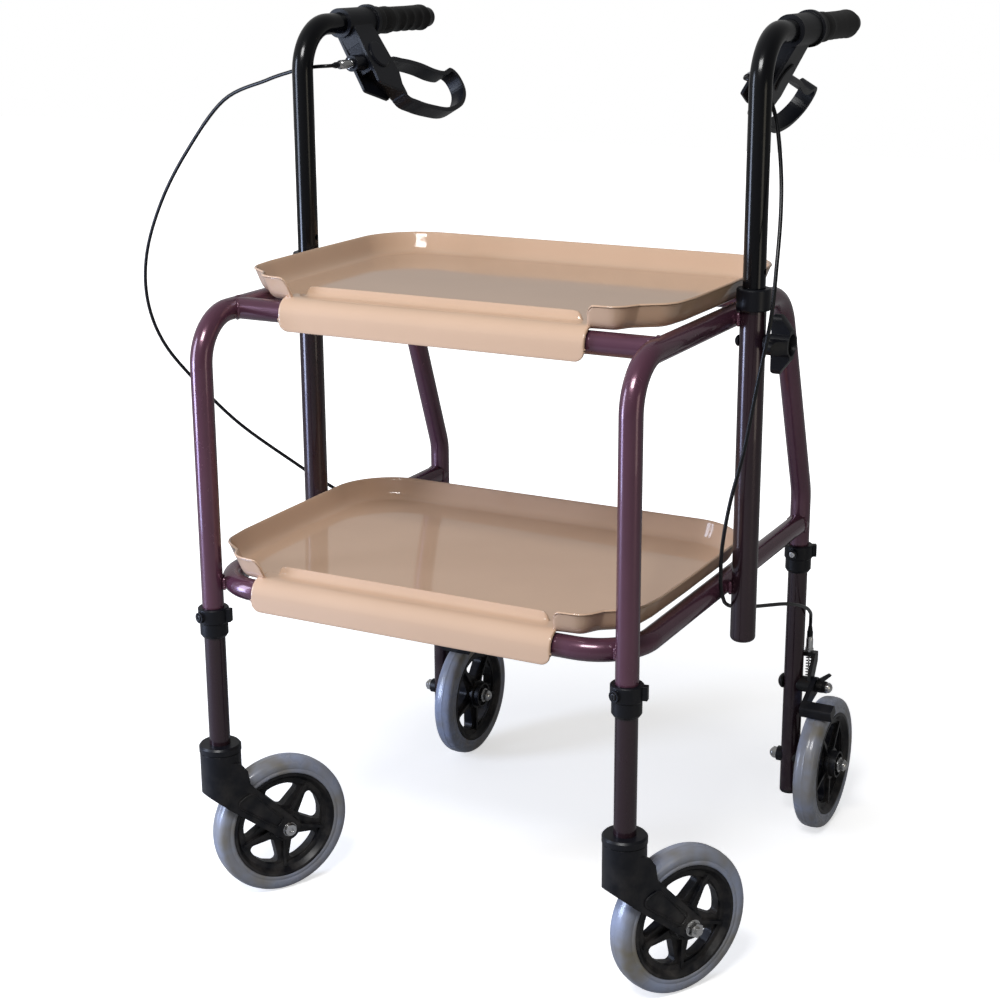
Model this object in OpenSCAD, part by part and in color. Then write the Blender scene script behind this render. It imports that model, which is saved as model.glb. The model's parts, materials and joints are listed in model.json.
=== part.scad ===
// Indoor walker with two lift-off trays: bent tube frame, sliding handles,
// loop brake levers, front casters and braked rear wheels.
// Millimetres, Z up, front of the walker towards -Y. Left and right are as seen from the front.

/* [Frame] */
// half spacing of the two side frames
leg_x = 228; // [220:1:236]
// outside diameter of the frame tube
tube_d = 22; // [21:0.5:23]
// wall thickness of every steel tube
tube_wall = 1.5; // [1.2:0.1:1.8]
// height of the upper rail axis
rail_z = 624; // [604:1:644]
// height of the lower rail axis
lower_z = 354; // [344:1:366]
// distance from the front legs back to the rear legs
rear_y = 465; // [455:1:485]
// distance from the front legs back to the uprights
upright_y = 230; // [222:1:238]
// outside diameter of the two handle uprights
upright_d = 25.4; // [25:0.1:27]

/* [Handles] */
// height of the handle grip axis
grip_z = 888; // [868:1:908]
// length of the soft grip
grip_len = 130; // [120:1:140]
// diameter of the soft grip
grip_d = 28; // [27:0.5:31]
// inward tilt of the brake lever from straight down
lever_tilt = 30; // [26:1:34]
// diameter across the clamp knob
knob_d = 58; // [54:1:64]

/* [Wheels] */
// outside diameter of the four wheels
wheel_d = 150; // [144:1:154]
// width of the tyres
wheel_w = 24; // [21:1:26]
// distance of the caster axle behind the swivel
caster_trail = 64; // [60:1:68]
// swivel of both casters from straight back
caster_turn = 30; // [0:1:40]

/* [Trays] */
// depth of a tray from the bar axis to the rear rim
tray_depth = 317; // [300:1:325]
// height of the tray wall
tray_wall = 25; // [22:1:28]

/* [Hidden] */
$fn = 64;
gap = 0.2;
stem_d = 22;
upright_bore = stem_d + 0.2;
upright_x = leg_x + tube_d / 2 + upright_d / 2 + gap;
axle_z = wheel_d / 2;
front_bend = 48;
bar_y = front_bend + tube_d / 2 + 2;
slant = round((rail_z - lower_z - 36) / 1.17) / 100;
rear_corner_y = rear_y - 44 * slant;
rear_bar_y = rear_corner_y - 48;
slant_z = rail_z - 117 * slant;
leg_bottom_z = 302;
collar_z = leg_bottom_z - 4;
leg_top = leg_bottom_z + 43;
lower_bend = round(tube_d / (sqrt(2) - 1) * 10 + 5) / 10;
spigot_d = tube_d - 2 * tube_wall - 0.2;
leg_d = tube_d - 0.6;
cap_z = axle_z + 105.5;
front_leg_z = axle_z + 75.3;
rear_wheel_x = 39;
pivot_z = wheel_d + 15;
cable_d = 4;
hub_half = 18.2;
fork_in = 18.5;
fork_out = 22.6;
lever_half = 9;
knob_z = rail_z - 22;
upright_top = rail_z + 26;
stem_low = upright_top - 150;
brake_dx = 13;
brake_dy = 13;

// The part stands centred over the middle of its box
x_max = max(leg_x + rear_wheel_x + hub_half + 10.98, upright_x + upright_d / 2 + 27.3);
x_min = -(upright_x + upright_d / 2 + 27.3);
y_max = rear_y + wheel_d / 2;
y_min = -max(21.6, fork_out * sin(caster_turn) + 9 * cos(caster_turn));
mid = [(x_max + x_min) / 2, (y_max + y_min) / 2, 0];

frame_col = "#4b3d49";
dark_col = "#2b2730";
black_col = "#1b1d22";
grip_col = "#15171b";
tray_col = "#c9a995";
tyre_col = "#77777a";
steel_col = "#b9bcc0";

// Small vector helpers
function unit(v) = v / norm(v);
function turn(a, b) = atan2(a[0] * b[1] - a[1] * b[0], a[0] * b[0] + a[1] * b[1]);
function left_of(u) = [-u[1], u[0]];
function polar(r, a) = [r * cos(a), r * sin(a)];
function corner_cut(p, r, i) =
    r[i] * tan(abs(turn(unit(p[i] - p[i - 1]), unit(p[i + 1] - p[i]))) / 2);

// Catmull-Rom curves through hand-set points
function cr(a, b, c, d, t) = 0.5 * (2 * b + (c - a) * t + (2 * a - 5 * b + 4 * c - d) * t * t
    + (3 * b - a - 3 * c + d) * t * t * t);
function closed_curve(p, k) = let(n = len(p)) [for (i = [0:n - 1]) for (j = [0:k - 1])
    cr(p[(i + n - 1) % n], p[i], p[(i + 1) % n], p[(i + 2) % n], j / k)];
function open_curve(p, k) = let(n = len(p)) concat([for (i = [0:n - 2]) for (j = [0:k - 1])
    cr(p[max(i - 1, 0)], p[i], p[i + 1], p[min(i + 2, n - 1)], j / k)], [p[n - 1]]);

// Everything is drawn about the front legs and moved to the part's own frame here
module placed() {
    translate(-mid) children();
}

// A flat drawing whose x runs along Y and whose y runs up, raised along X from x0
module along_x(x0, h) {
    translate([x0, 0, 0]) rotate([90, 0, 90]) linear_extrude(h) children();
}

module x_rod(x0, x1, y, z, d) {
    translate([x0, y, z]) rotate([0, 90, 0]) cylinder(d = d, h = x1 - x0);
}

// A convex outline grown by r, each corner turned in six steps
function sum_turn(p) = let(n = len(p)) [for (i = 0, t = 0; i <= n; t = t + (i < n ?
    turn(p[(i + 1) % n] - p[i], p[(i + 2) % n] - p[(i + 1) % n]) : 0), i = i + 1) t][n];
function grown(p, r) = let(n = len(p)) [for (i = [0:n - 1])
    let(a = p[i] - p[(i + n - 1) % n], b = p[(i + 1) % n] - p[i], t = turn(a, b), a0 = atan2(-a[0], a[1]))
    for (k = [0:6]) p[i] + polar(r, a0 + t * k / 6)];
function reversed(p) = [for (i = [len(p) - 1:-1:0]) p[i]];
module rounded_poly(p, r) {
    polygon(grown(sum_turn(p) > 0 ? p : reversed(p), r));
}

// A rod bent in its own plane: straight runs and true arcs
module bent_rod(p, r, d) {
    n = len(p);
    for (i = [0:n - 2]) {
        u = unit(p[i + 1] - p[i]);
        a = p[i] + u * (i == 0 ? 0 : corner_cut(p, r, i));
        b = p[i + 1] - u * (i == n - 2 ? 0 : corner_cut(p, r, i + 1));
        translate([a[0], a[1], 0]) rotate([0, 0, atan2(u[1], u[0])]) rotate([0, 90, 0])
            cylinder(d = d, h = norm(b - a));
    }
    for (i = [1:n - 2]) {
        u = unit(p[i] - p[i - 1]);
        t = turn(u, unit(p[i + 1] - p[i]));
        side = left_of(u) * sign(t);
        c = p[i] - u * corner_cut(p, r, i) + side * r[i];
        a0 = atan2(-side[1], -side[0]);
        if (abs(abs(t) - 90) < 0.01)
            translate([c[0], c[1], 0]) rotate([0, 0, t > 0 ? a0 : a0 + t])
                rotate_extrude(angle = abs(t)) translate([r[i], 0]) circle(d = d);
        else translate([c[0], c[1], 0]) intersection() {
            rotate([0, 0, 180]) rotate_extrude() translate([r[i], 0]) circle(d = d);
            translate([0, 0, -d]) linear_extrude(2 * d) wedge(-side, left_of(unit(p[i + 1] - p[i])) * -sign(t));
        }
    }
}
module wedge(a, b) {
    polygon([[0, 0], a * 200, (a + b) * 200, b * 200]);
}

// Ends moved out along their runs, for boring a tube right through
function longer(p, e) = let(n = len(p)) [for (i = [0:n - 1])
    i == 0 ? p[0] - unit(p[1] - p[0]) * e :
    i == n - 1 ? p[i] + unit(p[i] - p[i - 1]) * e : p[i]];

module bent_tube(p, r, d) {
    difference() {
        bent_rod(p, r, d);
        bent_rod(longer(p, 1), r, d - 2 * tube_wall);
    }
}

// Swept round tubes for cords and springs
function transport(t, i, n) = i >= len(t) ? [] :
    let(m = unit(n - t[i] * (n * t[i]))) concat([m], transport(t, i + 1, m));
module swept_tube(c, r, sides) {
    n = len(c);
    t = [for (i = [0:n - 1]) unit(c[min(i + 1, n - 1)] - c[max(i - 1, 0)])];
    m = transport(t, 0, abs(t[0][2]) < 0.8 ? [0, 0, 1] : [1, 0, 0]);
    pts = [for (i = [0:n - 1]) for (k = [0:sides - 1])
        c[i] + r * (cos(360 * k / sides) * m[i] + sin(360 * k / sides) * cross(t[i], m[i]))];
    walls = [for (i = [0:n - 2]) for (k = [0:sides - 1]) for (f = [0, 1])
        let(a = i * sides + k, b = i * sides + (k + 1) % sides)
        f == 0 ? [a, a + sides, b] : [b, a + sides, b + sides]];
    first = [for (k = [1:sides - 2]) [0, k, k + 1]];
    z = (n - 1) * sides;
    last = [for (k = [1:sides - 2]) [z, z + k + 1, z + k]];
    polyhedron(points = pts, faces = concat(walls, first, last));
}

// Frame tubes
frame_path = [[0, leg_bottom_z], [0, rail_z], [rear_corner_y, rail_z], [rear_y, slant_z],
    [rear_y, leg_bottom_z]];
frame_bends = [0, front_bend, 52, 55, 0];
module side_frame(s) {
    color(frame_col) placed() translate([s * leg_x, 0, 0]) rotate([90, 0, 90])
        bent_tube(frame_path, frame_bends, tube_d);
}
module side_frame_left() { side_frame(-1); }
module side_frame_right() { side_frame(1); }

// A crossbar with both ends shaped to the rails they meet
module crossbar(y) {
    color(frame_col) placed() difference() {
        x_rod(-leg_x, leg_x, y, rail_z, tube_d);
        x_rod(-leg_x - 1, leg_x + 1, y, rail_z, tube_d - 2 * tube_wall);
        for (s = [-1, 1]) translate([s * leg_x, y - 40, rail_z]) rotate([-90, 0, 0])
            cylinder(d = tube_d + 0.2, h = 80);
    }
}
module front_crossbar() { crossbar(bar_y); }
module rear_crossbar() { crossbar(rear_bar_y); }

lower_path = [[-leg_x, rear_y], [-leg_x, 0], [leg_x, 0], [leg_x, rear_y]];
module lower_frame() {
    color(frame_col) placed() difference() {
        translate([0, 0, lower_z]) bent_tube(lower_path, [0, lower_bend, lower_bend, 0], tube_d);
        for (s = [-1, 1]) translate([s * leg_x, rear_y, lower_z - 30])
            cylinder(d = tube_d + 0.2, h = 60);
    }
}

// Uprights that guide the handles: closed and rounded at the foot
module upright(s) {
    r = upright_d / 2;
    color(dark_col) placed() translate([s * upright_x, upright_y, 0]) difference() {
        translate([0, 0, lower_z - 56]) rotate_extrude() difference() {
            union() {
                translate([0, 5]) square([r, upright_top - lower_z + 51]);
                square([r - 5, 6]);
                intersection() {
                    translate([r - 5, 5]) circle(r = 5);
                    square([r, 10]);
                }
            }
            translate([0, 4]) square([upright_bore / 2, 500]);
        }
        rotate([0, s * 90, 0]) translate([-s * knob_z, 0, 0]) cylinder(d = 7, h = 30);
    }
}
module upright_left() { upright(-1); }
module upright_right() { upright(1); }

module upright_collar(s) {
    r = upright_d / 2 + 0.1;
    color(black_col) placed() translate([s * upright_x, upright_y, 0]) rotate_extrude()
        polygon([[r, upright_top - 17], [r + 3, upright_top - 17], [r + 3.8, upright_top - 16],
            [r + 3.8, upright_top + 3], [r + 2.8, upright_top + 4], [stem_d / 2 + 0.6, upright_top + 4],
            [stem_d / 2 + 0.08, upright_top + 3.4], [stem_d / 2 + 0.08, upright_top + 0.2],
            [r, upright_top + 0.2]]);
}
module upright_collar_left() { upright_collar(-1); }
module upright_collar_right() { upright_collar(1); }

// Four-armed clamp knob with swept-back arms; its screw stops just short of the sliding stem
module clamp_knob(s) {
    face = upright_d / 2 + 0.3;
    reach = knob_d / 2;
    color(black_col) placed() translate([s * upright_x, upright_y, knob_z]) rotate([0, s * 90, 0])
        difference() {
            union() {
                translate([0, 0, stem_d / 2 + 0.3]) cylinder(d = 6, h = 12);
                translate([0, 0, face]) cylinder(d1 = 16, d2 = 20, h = 9);
                translate([0, 0, face]) intersection() {
                    translate([0, 0, 8]) linear_extrude(19) union() {
                        circle(r = 12.5);
                        for (a = [0:90:270]) rotate(a) {
                            translate([0, -6.5]) square([reach - 6.5, 13]);
                            translate([reach - 6.5, 0]) circle(r = 6.5);
                        }
                    }
                    rotate_extrude() polygon([[0, 7], [reach - 3, 7], [reach + 1, 10.5], [reach + 1, 15],
                        [reach - 3, 18], [14.5, 27], [0, 27]]);
                }
            }
            translate([0, 0, face + 21]) cylinder(d1 = 18, d2 = 22, h = 7);
        }
}
module clamp_knob_left() { clamp_knob(-1); }
module clamp_knob_right() { clamp_knob(1); }

// Domed bolt head on the inner side of each upright
module clamp_rivet(s) {
    color(black_col) placed() translate([s * upright_x, upright_y, knob_z]) rotate([0, -s * 90, 0])
        translate([0, 0, upright_d / 2 - 0.1]) difference() {
            union() {
                cylinder(d = 11, h = 2);
                translate([0, 0, 2]) intersection() {
                    translate([0, 0, -4]) sphere(r = 6.8);
                    cylinder(d = 20, h = 10);
                }
            }
            rotate([0, 0, 90]) rotate([90, 0, 0]) translate([0, -upright_d / 2 + 0.1, -20])
                cylinder(d = upright_d + 0.2, h = 40);
        }
}
module clamp_rivet_left() { clamp_rivet(-1); }
module clamp_rivet_right() { clamp_rivet(1); }

// Leg tubes: a thinner spigot slides up inside the frame tube
module leg(s, y, z0, z1) {
    color(dark_col) placed() translate([s * leg_x, y, 0]) difference() {
        union() {
            translate([0, 0, z0]) cylinder(d = leg_d, h = leg_bottom_z - 0.3 - z0);
            translate([0, 0, leg_bottom_z - 1]) cylinder(d = spigot_d, h = z1 - leg_bottom_z + 1);
        }
        translate([0, 0, z0 - 1]) cylinder(d = spigot_d - 2.4, h = z1 - z0 + 2);
        children();
    }
}
module front_leg_left() { leg(-1, 0, front_leg_z, leg_top); }
module front_leg_right() { leg(1, 0, front_leg_z, leg_top); }
module rear_leg(s) {
    leg(s, rear_y, axle_z - 40, leg_top) {
        x_rod(-30, 30, 0, axle_z, 8.2);
        x_rod(-30, 30, 0, pivot_z, 8.2);
    }
}
module rear_leg_left() { rear_leg(-1); }
module rear_leg_right() { rear_leg(1); }

// Height-setting collar: ring, sleeve, screw boss and square tab
module leg_collar(s, y, a) {
    color(black_col) placed() translate([s * leg_x, y, 0]) {
        difference() {
            union() {
                rotate_extrude() polygon([[leg_d / 2 + 0.1, collar_z], [12.2, collar_z], [14.2, collar_z + 3],
                    [14.2, collar_z + 15], [15.6, collar_z + 16.5], [15.6, collar_z + 30], [14.6, collar_z + 31],
                    [tube_d / 2 + 0.1, collar_z + 31], [tube_d / 2 + 0.1, leg_bottom_z + 0.1],
                    [leg_d / 2 + 0.1, leg_bottom_z + 0.1]]);
                rotate([0, 0, a]) rotate([0, 90, 0]) translate([-collar_z - 23, 0, 13]) cylinder(d = 11, h = 5.5);
                rotate([0, 0, a + 118]) translate([13, -3.5, collar_z + 17]) cube([6.5, 7, 13.4]);
            }
            rotate([0, 0, a]) rotate([0, 90, 0]) translate([-collar_z - 23, 0, 17.2]) cylinder(d = 8, h = 4);
        }
        rotate([0, 0, a]) rotate([0, 90, 0]) translate([-collar_z - 23, 0, 16]) intersection() {
            cylinder(d = 7, h = 3);
            translate([0, 0, -4]) sphere(r = 6.6);
        }
    }
}
module front_leg_collar_left() { leg_collar(-1, 0, 252); }
module front_leg_collar_right() { leg_collar(1, 0, 252); }
module rear_leg_collar_left() { leg_collar(-1, rear_y, 266); }
module rear_leg_collar_right() { leg_collar(1, rear_y, 266); }

// Wheels, drawn about the axle: moulded tyre, five-spoke rim
module wheel_axis() {
    rotate([0, 90, 0]) children();
}
module tyre_body() {
    r = wheel_d / 2;
    h = wheel_w / 2;
    wheel_axis() rotate_extrude() difference() {
        union() {
            translate([r - 17, -h]) square([9, wheel_w]);
            translate([r - 17, 8 - h]) square([17, wheel_w - 16]);
            for (z = [8 - h, h - 8]) translate([r - 8, z]) circle(r = 8);
        }
        translate([r - 18, -h - 1]) square([1, wheel_w + 2]);
    }
}
module rim_body() {
    r = wheel_d / 2 - 17.05;
    h = wheel_w / 2;
    wheel_axis() difference() {
        union() {
            rotate_extrude() polygon([[r, -h], [r, h], [r - 3, h], [r - 7, 7], [r - 12, 7], [r - 12, -7],
                [r - 7, -7], [r - 3, -h]]);
            translate([0, 0, -5]) linear_extrude(10) difference() {
                circle(r = r - 10);
                for (k = [0:4]) rotate(72 * k + 36) rounded_poly([polar(25, 0), polar(r - 18, 20),
                    polar(r - 17, 7), polar(r - 17, -7), polar(r - 18, -20)], 4.5);
            }
            for (k = [0:4]) rotate(72 * k) translate([12, -1.6, -9]) cube([r - 21, 3.2, 18]);
            translate([0, 0, -hub_half]) cylinder(d = 30, h = 2 * hub_half);
            translate([0, 0, -11]) cylinder(d = 35, h = 22);
        }
        translate([0, 0, -50]) cylinder(d = 8.1, h = 100);
        for (m = [0, 1]) mirror([0, 0, m]) translate([0, 0, hub_half - 3]) difference() {
            cylinder(d = 26, h = 10);
            translate([0, 0, -1]) cylinder(d = 17, h = 12);
        }
    }
}

// Front casters: swivel housing with a cap, two arms sloping back to the axle
module at_caster(s) {
    placed() translate([s * leg_x, 0, 0]) rotate([0, 0, -caster_turn]) children();
}
function tangent_angle(p, c, r, m) = let(v = p - c) atan2(v[1], v[0]) + m * acos(r / norm(v));
function eye(p, q, c, r) = let(a = tangent_angle(p, c, r, 1), b = tangent_angle(q, c, r, -1),
    t = b < a ? b + 360 - a : b - a) [for (k = [0:24]) c + polar(r, a + t * k / 24)];
module caster_fork(s) {
    axle = [caster_trail, axle_z];
    low = [-15, axle_z + 48];
    high = [28, axle_z + 55];
    tip = eye(low, high, axle, 12);
    run = unit(tip[0] - low);
    lift = [0, 0.6];
    color(black_col) at_caster(s) difference() {
        union() {
            difference() {
                translate([0, 0, axle_z + 10]) cylinder(r = 21, h = cap_z - 8.5 - axle_z - 10);
                along_x(-40, 80) polygon([low - 40 * run + lift, low + 90 * run + lift,
                    low + 90 * run - [0, 90], low - 40 * run - [0, 90]]);
            }
            translate([0, 0, cap_z - 10]) cylinder(r = 20.2, h = 4);
            translate([0, 0, cap_z - 7.5]) cylinder(r = 21.6, h = 5.5);
            translate([0, 0, cap_z - 2]) cylinder(r1 = 21.6, r2 = 20, h = 2);
            intersection() {
                union() {
                    for (x = [-fork_out, fork_in]) along_x(x, fork_out - fork_in)
                        polygon(concat([low], tip, [high, [22, axle_z + 62], [19.5, axle_z + 77],
                            [13, axle_z + 86], [-6, axle_z + 92]]));
                }
                translate([0, 0, axle_z - 40]) linear_extrude(200) polygon([[20.4, -4], [fork_out, 14],
                    [fork_out, 120], [-fork_out, 120], [-fork_out, 14], [-20.4, -4]]);
            }
        }
        along_x(-fork_in, 2 * fork_in) translate(axle) circle(r = wheel_d / 2 + 3.5);
        translate([0, 0, front_leg_z - 0.3]) cylinder(d = leg_d + 0.1, h = 60);
        x_rod(-40, 40, caster_trail, axle_z, 8.1);
        for (x = [-fork_out - 1, fork_out - 0.9]) along_x(x, 1.9)
            rounded_poly([[8, axle_z + 43], [15, axle_z + 49], [caster_trail - 11, axle_z + 15],
                [caster_trail - 16, axle_z + 10]], 5);
    }
}
module caster_fork_left() { caster_fork(-1); }
module caster_fork_right() { caster_fork(1); }

// Bolt from one arm to the other: round head, washer, hex nut and thread end
module front_axle(s) {
    color(steel_col) at_caster(s) translate([0, caster_trail, axle_z]) rotate([0, s * 90, 0]) difference() {
        union() {
            translate([0, 0, -fork_out - 1]) cylinder(d = 8, h = 2 * fork_out + 12);
            translate([0, 0, -fork_out - 1.3]) cylinder(d = 15, h = 1.2);
            translate([0, 0, -fork_out - 4.4]) cylinder(d1 = 12, d2 = 14.4, h = 3.2);
            translate([0, 0, fork_out + 0.1]) cylinder(d = 17, h = 1.4);
            translate([0, 0, fork_out + 1.4]) cylinder(d = 15, h = 6.5, $fn = 6);
        }
        translate([0, 0, -fork_out - 5]) cylinder(d = 5.8, h = 2.6, $fn = 6);
    }
}
module front_axle_left() { front_axle(-1); }
module front_axle_right() { front_axle(1); }
module at_front_wheel(s) {
    at_caster(s) translate([0, caster_trail, axle_z]) children();
}
module front_rim_left() { color(black_col) at_front_wheel(-1) rim_body(); }
module front_rim_right() { color(black_col) at_front_wheel(1) rim_body(); }
module front_tyre_left() { color(tyre_col) at_front_wheel(-1) tyre_body(); }
module front_tyre_right() { color(tyre_col) at_front_wheel(1) tyre_body(); }

// Rear wheels, both on the same hand of their legs
module at_rear(s) {
    placed() translate([s * leg_x, rear_y, 0]) children();
}
module at_rear_wheel(s) {
    at_rear(s) translate([rear_wheel_x, 0, axle_z]) children();
}
module rear_rim_left() { color(black_col) at_rear_wheel(-1) rim_body(); }
module rear_rim_right() { color(black_col) at_rear_wheel(1) rim_body(); }
module rear_tyre_left() { color(tyre_col) at_rear_wheel(-1) tyre_body(); }
module rear_tyre_right() { color(tyre_col) at_rear_wheel(1) tyre_body(); }
module acorn(h) {
    cylinder(d = 14.5, h = 5, $fn = 6);
    translate([0, 0, 4.5]) cylinder(d = 11.4, h = h - 8);
    translate([0, 0, h - 3.6]) intersection() {
        translate([0, 0, -2.4]) sphere(r = 6.18);
        cylinder(d = 14, h = 10);
    }
}
module rear_axle(s) {
    out = rear_wheel_x + hub_half + 0.3;
    color(steel_col) at_rear(s) translate([0, 0, axle_z]) rotate([0, 90, 0]) union() {
        translate([0, 0, -leg_d / 2 - 9]) cylinder(d = 8, h = out + leg_d / 2 + 12);
        translate([0, 0, out]) cylinder(d = 17, h = 1.4);
        translate([0, 0, out + 1.3]) acorn(9.2);
        rotate([180, 0, 0]) translate([0, 0, leg_d / 2 + 4.3]) acorn(9.2);
    }
}
module rear_axle_left() { rear_axle(-1); }
module rear_axle_right() { rear_axle(1); }

// Spacers on the axle between leg and hub, and under the inner nut
module rear_spacer(s) {
    color(black_col) at_rear(s) difference() {
        union() {
            x_rod(2, rear_wheel_x - hub_half - 0.3, 0, axle_z, 19);
            x_rod(-leg_d / 2 - 4.2, -2, 0, axle_z, 17);
        }
        translate([0, 0, axle_z - 30]) cylinder(d = leg_d + 0.2, h = 60);
        x_rod(-40, 60, 0, axle_z, 8.1);
    }
}
module rear_spacer_left() { rear_spacer(-1); }
module rear_spacer_right() { rear_spacer(1); }

// Rear brakes: fixed bracket with its pivot bolt, swinging arm with the shoe
seat_z = pivot_z + 30;
module brake_bracket(s) {
    color(black_col) at_rear(s) union() {
        difference() {
            union() {
                x_rod(2, 22, 0, pivot_z, 18);
                along_x(18, 4) polygon([[-7, pivot_z], [6, pivot_z + 2.5], [18, seat_z - 6],
                    [18, seat_z + 5], [9, seat_z + 5], [-5, pivot_z + 13]]);
                along_x(7, 14.5) polygon([[8, seat_z], [17.5, seat_z], [17.5, seat_z + 5], [8, seat_z + 5]]);
            }
            translate([0, 0, pivot_z - 30]) cylinder(d = leg_d + 0.2, h = 60);
            x_rod(-1, 14, 0, pivot_z, 8.05);
            translate([brake_dx, brake_dy, seat_z - 2]) cylinder(d = 4.5, h = 10);
        }
        x_rod(-leg_d / 2 - 3, 38, 0, pivot_z, 8);
        translate([-leg_d / 2 + 0.4, 0, pivot_z]) rotate([0, -90, 0]) difference() {
            intersection() {
                translate([0, 0, -3]) sphere(r = 10);
                cylinder(d = 17, h = 12);
            }
            rotate([0, 0, 90]) rotate([90, 0, 0]) translate([0, -leg_d / 2 + 0.4, -20])
                cylinder(d = leg_d + 0.2, h = 40);
        }
        x_rod(28.3, 35, 0, pivot_z, 14);
        translate([0, 1.5, 0]) rotate([90, 0, 0]) linear_extrude(3) rounded_poly([[30, pivot_z + 4],
            [33, pivot_z + 5], [43, pivot_z + 15], [41, pivot_z + 16], [30, pivot_z + 8]], 1);
        translate([34.5, 0, pivot_z]) rotate([0, 90, 0]) acorn(11);
    }
}
module brake_bracket_left() { brake_bracket(-1); }
module brake_bracket_right() { brake_bracket(1); }

shoe_a = 25;
shoe_r = wheel_d / 2 + 2.2;
module brake_arm(s) {
    hub = [0, pivot_z];
    shoe = [-sin(shoe_a) * (shoe_r + 7), axle_z + cos(shoe_a) * (shoe_r + 7)];
    color(black_col) at_rear(s) difference() {
        union() {
            along_x(22.4, 5.5) union() {
                translate(hub) circle(r = 10);
                polygon([hub + [-2, 9.8], hub + [3, -9.5], shoe + [6, -4], shoe + [-4, 4]]);
                polygon([hub + [0, -6], hub + [17, -4], hub + [17, 3], hub + [0, 6]]);
            }
            along_x(8.5, 19) polygon([hub + [9.6, -4], hub + [16.8, -4], hub + [16.8, 3], hub + [9.6, 3]]);
            along_x(22.5, 36.5) translate(shoe) rotate(shoe_a)
                rounded_poly([[-4.5, -7], [4.5, -7], [4.5, 2.5], [-4.5, 2.5]], 3);
        }
        along_x(0, 80) translate([0, axle_z]) circle(r = shoe_r);
        x_rod(10, 50, 0, pivot_z, 8.1);
        along_x(0, 22.3) translate(hub) circle(r = 9.3);
        translate([brake_dx, brake_dy, pivot_z - 10]) cylinder(d = 3.4, h = 20);
    }
}
module brake_arm_left() { brake_arm(-1); }
module brake_arm_right() { brake_arm(1); }

// Return spring as one unbroken wire with straight ends
spring_wire = 1.2;
spring_r = 3.1;
spring_turns = 7;
spring_low = pivot_z + 3.3 + spring_wire / 2;
spring_high = seat_z - 0.3 - spring_wire / 2;
spring_mid = [for (i = [0:8 * spring_turns]) let(a = 360 * i / 8) [spring_r * cos(a), spring_r * sin(a),
    spring_low + (spring_high - spring_low) * i / (8 * spring_turns)]];
spring_last = 8 * spring_turns;
spring_path = concat([spring_mid[0] - unit([0, 1, 0]) * spring_wire], spring_mid,
    [spring_mid[spring_last] + unit([0, 1, 0]) * spring_wire]);
spring_gap = min([for (i = [0:spring_last]) for (j = [i + 5:spring_last])
    if (j <= spring_last) norm(spring_mid[i] - spring_mid[j])]) - spring_wire;
echo(str("least gap between spring curls ", spring_gap));
module brake_spring(s) {
    color(steel_col) at_rear(s) translate([brake_dx, brake_dy, 0]) swept_tube(spring_path, spring_wire / 2, 6);
}
module brake_spring_left() { brake_spring(-1); }
module brake_spring_right() { brake_spring(1); }

// Barrel adjuster at the foot of each cable, with the inner wire and its nipple
module brake_adjuster(s) {
    color(steel_col) at_rear(s) translate([brake_dx, brake_dy, 0]) difference() {
        union() {
            translate([0, 0, pivot_z - 12]) cylinder(d = 1.6, h = 50);
            translate([0, 0, pivot_z - 12]) cylinder(d = 5, h = 5);
            translate([0, 0, seat_z - 0.2]) cylinder(d = 4.3, h = 8);
            translate([0, 0, seat_z + 5.2]) cylinder(d = 10, h = 4, $fn = 6);
            translate([0, 0, seat_z + 9]) cylinder(d = 8, h = 10);
            translate([0, 0, seat_z + 19]) cylinder(d1 = 8, d2 = 6.4, h = 5);
        }
        translate([0, 0, seat_z + 17]) cylinder(d = cable_d + 0.2, h = 10);
    }
}
module brake_adjuster_left() { brake_adjuster(-1); }
module brake_adjuster_right() { brake_adjuster(1); }

// Handles: the stem slides in its upright, then bends back to the grip
grip_start = 134;
grip_end = grip_start + grip_len;
module handle_stem(s) {
    color(black_col) placed() translate([s * upright_x, 0, 0]) difference() {
        rotate([90, 0, 90]) bent_tube([[upright_y, stem_low], [upright_y, grip_z],
            [upright_y + grip_end - 4, grip_z]], [0, 48, 0], stem_d);
        for (k = [0:4]) x_rod(-20, 20, upright_y, 670 - 32.5 * k, 6);
    }
}
module handle_stem_left() { handle_stem(-1); }
module handle_stem_right() { handle_stem(1); }

module handle_grip(s) {
    r = grip_d / 2;
    q = grip_len - 30;
    color(grip_col) placed() translate([s * upright_x, upright_y + grip_start, grip_z]) rotate([-90, 0, 0])
        rotate_extrude() polygon([[stem_d / 2 + 0.05, 0], [r + 0.8, 0], [r + 1.4, 1], [r + 1.4, 14], [r, 16],
            [r, 18 + q * 0.1], [r - 1.4, 18 + q * 0.17], [r, 18 + q * 0.24], [r, 18 + q * 0.36],
            [r - 1.4, 18 + q * 0.43], [r, 18 + q * 0.5], [r, 18 + q * 0.62], [r - 1.4, 18 + q * 0.69],
            [r, 18 + q * 0.76], [r, grip_len - 7], [r - 4, grip_len], [0, grip_len], [0, grip_len - 3.8],
            [stem_d / 2 + 0.05, grip_len - 3.8]]);
}
module handle_grip_left() { handle_grip(-1); }
module handle_grip_right() { handle_grip(1); }

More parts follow.
